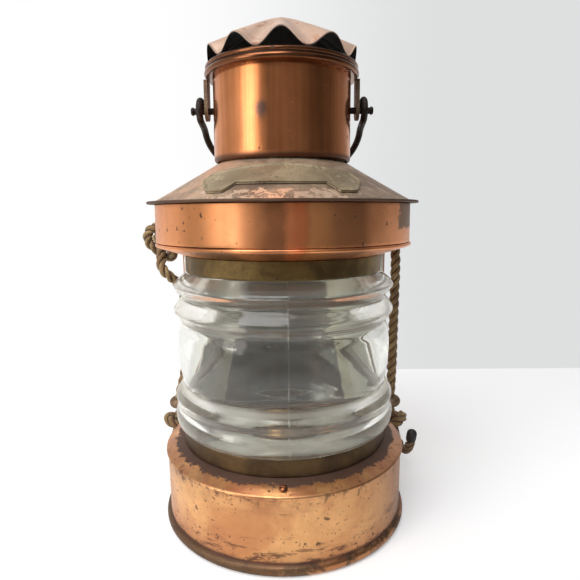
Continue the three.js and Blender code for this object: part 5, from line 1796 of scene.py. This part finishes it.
    def tip(self, path: Array) -> None:
        """The taped tip: a short tube with the low ridge of each turn of tape.

        Args:
            path: The rope's middle line, whose first point it covers.
        """
        out = (path[0] - path[4]) / np.linalg.norm(path[0] - path[4])
        reach = np.linspace(0.3, self.tip_length, 60)
        line = path[0] + reach[:, None] * out
        angle = around(48)
        ridge = ((reach[:, None] / 1.7 + angle[None, :] / FULL_TURN) % 1) ** 6 * 0.14
        end = np.clip((self.tip_length - reach) / 1.2, 0, 1) ** 0.5
        radius = (self.radius + ridge) * (0.72 + 0.28 * end[:, None])
        piece = swept("rope_tip_tape", line, radius, self.palette.tape)
        dress(piece, "tape", "rope_whipping")

    def guides(self) -> None:
        """The two short barrels beside the shield: a ring whose outside bulges."""
        belly = arc((3.5, 0), 1.0, -90, 90, 16)
        outline = np.stack([3.5 + 2.8 * (belly[:, 0] - 3.5), belly[:, 1] * 3.1], 1)
        rows = softened(outline_of(outline), 0.3, 0.8)
        turn, radius = np.meshgrid(around(56), rows[:, 0], indexing="ij")
        height = np.broadcast_to(rows[:, 1], radius.shape)
        ring = np.stack([radius * np.cos(turn), radius * np.sin(turn), height], -1).reshape(-1, 3)
        faces = grid_faces(*radius.shape, True, True).tolist()
        for name, side in SIDES:
            points = ring + np.array(self.guide) * [side, 1, 1]
            piece = mesh_object(f"rope_barrel_{name}", points, faces, self.palette.strap)
            dress(piece, "dark_copper", f"rope_guide_lower_{name}")


@dataclass
class Workings:
    """CAD pieces that keep their own shape: the burner, wick, packing, lock ring, ears and staples."""

    palette: Palette
    nodes: dict[str, bpy.types.Object]

    def build(self) -> None:
        """Gives each piece its finish."""
        look = self.palette
        for finish, names in (
                (look.brass, ("bayonet_ring", "burner_body", "burner_gallery", "burner_dome", "wick_spindle",
                              "wick_knob")),
                (look.tin, ("oil_font",)), (look.cotton, ("wick",)),
                (look.cork, ("lower_gasket", "upper_gasket")),
                (look.strap, ("ear_left", "ear_right", "rope_guide_rear_left", "rope_guide_rear_right"))):
            for name in names:
                mesh = self.nodes[name].data
                mesh.materials.clear()
                mesh.materials.append(finish)
                LOG.info("%s keeps its CAD shape", name)


@dataclass
class Studio:
    """Table, lamps, surroundings and camera."""

    effects: Effects
    table_edge: float = 0.244
    half_width: float = 1.4
    table_glow: float = 0.30
    front_glow: float = 0.53

    def table_paint(self) -> bpy.types.Material:
        """Matt table paint: pale round the lantern, and dim far in front, where metal mirrors a dark room.

        Camera rays and rays through the glass see it pale all over. Mirrored rays see the dim part as it is.

        Returns:
            The material.
        """
        paint = bpy.data.materials.new("table_paint")
        paint.use_nodes = True
        recipe = Recipe(paint.node_tree)
        place = recipe.node("TexCoord").outputs["Object"]
        x, y = recipe.node("SeparateXYZ", {0: place}).outputs[:2]
        front = recipe.rise(y, -0.18, -0.36)
        right = recipe.rise(x, -0.02, 0.12)
        grain = recipe.rise(recipe.noise(place, 90.0, 5.0), 0.3, 0.7, 0.0, 0.02)
        pale = recipe.mix(grain, (0.84, 0.845, 0.86, 1), (0.6, 0.6, 0.6, 1))
        path = recipe.node("LightPath").outputs
        through = path["Is Transmission Ray"]
        mirrored = recipe.product(path["Is Glossy Ray"], recipe.less(1.0, through))
        near = recipe.product(mirrored, recipe.blend(recipe.most(front, right), 0.16, 0.0))
        glow = recipe.blend(front, self.table_glow, self.table_glow + self.front_glow)
        seen = recipe.product(recipe.most(path["Is Camera Ray"], through), glow)
        inputs = {"Base Color": recipe.mix(front, pale, (0.20, 0.19, 0.18, 1)), "Roughness": 0.7,
                  "Specular IOR Level": 0.2, "Emission Color": (0.97, 0.985, 1, 1),
                  "Emission Strength": recipe.total(near, seen)}
        for name, value in inputs.items():
            recipe.feed(recipe.tree.nodes["Principled BSDF"].inputs[name], value)
        return paint

    def card(self, name: str, corners: Sequence[Sequence[float]], material: bpy.types.Material) -> None:
        """A flat card between four corners.

        Args:
            name: Name of the card.
            corners: Its corners in metres.
            material: Its paint.
        """
        mesh = bpy.data.meshes.new(name)
        mesh.from_pydata([tuple(c) for c in corners], [], [(0, 1, 2, 3)])
        mesh.materials.append(material)
        piece = bpy.data.objects.new(name, mesh)
        bpy.context.scene.collection.objects.link(piece)

    def lamp(self, name: str, place: Sequence[float], aim: Sequence[float], size: Sequence[float],
             power: float, colour: Sequence[float] = (1, 1, 1)) -> None:
        """A soft rectangular lamp that faces a point.

        Args:
            name: Name of the lamp.
            place: Its place in metres.
            aim: The point that it faces.
            size: Its width and height.
            power: Its power in watts.
            colour: Its red, green and blue.
        """
        light = bpy.data.lights.new(name, "AREA")
        light.shape = "RECTANGLE"
        light.size, light.size_y = size
        light.energy = power
        light.color = colour
        holder = bpy.data.objects.new(name, light)
        holder.location = place
        holder.rotation_euler = (Vector(aim) - Vector(place)).to_track_quat("-Z", "Y").to_euler()
        bpy.context.scene.collection.objects.link(holder)

    def surroundings(self) -> None:
        """World: a pale room whose side behind the camera is dim, which the metal and glass reflect."""
        world = bpy.data.worlds.new("room")
        bpy.context.scene.world = world
        world.use_nodes = True
        recipe = Recipe(world.node_tree)
        x, y, z = recipe.node("SeparateXYZ", {0: recipe.node("TexCoord").outputs["Generated"]}).outputs
        angle = recipe.math("ARCTAN2", x, recipe.product(y, -1.0))
        levels = [(-180, 0.95), (-125, 0.85), (-100, 0.6), (-78, 0.85), (-50, 0.85), (-34, 0.30), (-20, 0.13),
                  (0, 0.24), (22, 0.23), (38, 0.16), (52, 0.10), (70, 0.078), (92, 0.13), (108, 0.25),
                  (130, 0.34), (152, 0.7), (180, 0.95)]
        stops = [(np.radians(at), level, level * 0.97, level * 0.94) for at, level in levels]
        room = recipe.ramp(angle, stops)
        room = recipe.mix(recipe.rise(z, 0.45, 0.85), room, (0.40, 0.39, 0.38, 1))
        aside = recipe.math("ABSOLUTE", angle)
        apron = recipe.product(recipe.rise(z, 0.0, -0.12), recipe.rise(aside, 1.6, 2.0))
        room = recipe.mix(apron, room, (1.0, 0.995, 0.97, 1))
        behind = recipe.product(recipe.rise(aside, 2.3, 2.75), recipe.rise(z, -0.10, 0.0))
        path = recipe.node("LightPath").outputs
        mirrored = recipe.most(path["Is Glossy Ray"], path["Is Transmission Ray"])
        seen = recipe.most(path["Is Camera Ray"], recipe.product(mirrored, behind))
        paint = recipe.mix(recipe.rise(x, -0.25, 0.28), WHITE, (0.735, 0.742, 0.745, 1))
        shade = world.node_tree.nodes["Background"]
        recipe.feed(shade.inputs["Color"], recipe.mix(seen, room, paint))
        recipe.feed(shade.inputs["Strength"], 1.0)

    def camera(self) -> None:
        """Camera matched to the photograph: its place, its fall towards the horizon and its small roll."""
        pitch, roll = np.radians(8.706), np.radians(-0.3608)
        right = np.array([1.0, 0, 0])
        up = np.array([0, np.sin(pitch), np.cos(pitch)])
        forward = np.array([0, np.cos(pitch), -np.sin(pitch)])
        x_axis = right * np.cos(roll) + up * np.sin(roll)
        y_axis = -right * np.sin(roll) + up * np.cos(roll)
        pose = np.eye(4)
        pose[:3, 0], pose[:3, 1], pose[:3, 2] = x_axis, y_axis, -forward
        pose[:3, 3] = (0.003534, -0.27427, 0.165345)
        data = bpy.data.cameras.new("camera")
        data.sensor_width = 36.0
        data.lens = 504.43 / 580 * 36.0
        data.clip_start = 0.01
        holder = bpy.data.objects.new("camera", data)
        holder.matrix_world = Matrix(pose.tolist())
        bpy.context.scene.collection.objects.link(holder)
        bpy.context.scene.camera = holder

    def build(self) -> None:
        """Builds the studio."""
        bpy.context.scene.view_settings.view_transform = "Standard"
        w, edge = self.half_width, self.table_edge
        self.card("table", [(-w, -w, 0), (w, -w, 0), (w, edge, 0), (-w, edge, 0)], self.table_paint())
        aim = (0, 0, 0.13)
        self.lamp("window", (-0.81, -0.65, 0.42), aim, (0.45, 0.95), 3.1, (1, 0.96, 0.88))
        self.lamp("window_low", (-0.66, -0.50, 0.15), aim, (0.16, 0.10), 0.45, (1, 0.96, 0.88))
        self.lamp("ceiling", (-0.30, -0.60, 1.05), aim, (0.8, 0.8), 9.5)
        self.surroundings()
        self.camera()


def main() -> None:
    """Builds the studio and every piece of the lantern."""
    logging.basicConfig(level=logging.INFO, format="%(name)s: %(message)s")
    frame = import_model()
    effects = Effects()
    Studio(effects).build()
    palette = Palette(effects)
    Base(palette).build()
    Lens(palette).build()
    Canopy(palette).build()
    Chimney(palette).build()
    Bail(palette).build()
    Rope(palette).build()
    Workings(palette, frame["nodes"]).build()


if __name__ == "__main__":
    main()
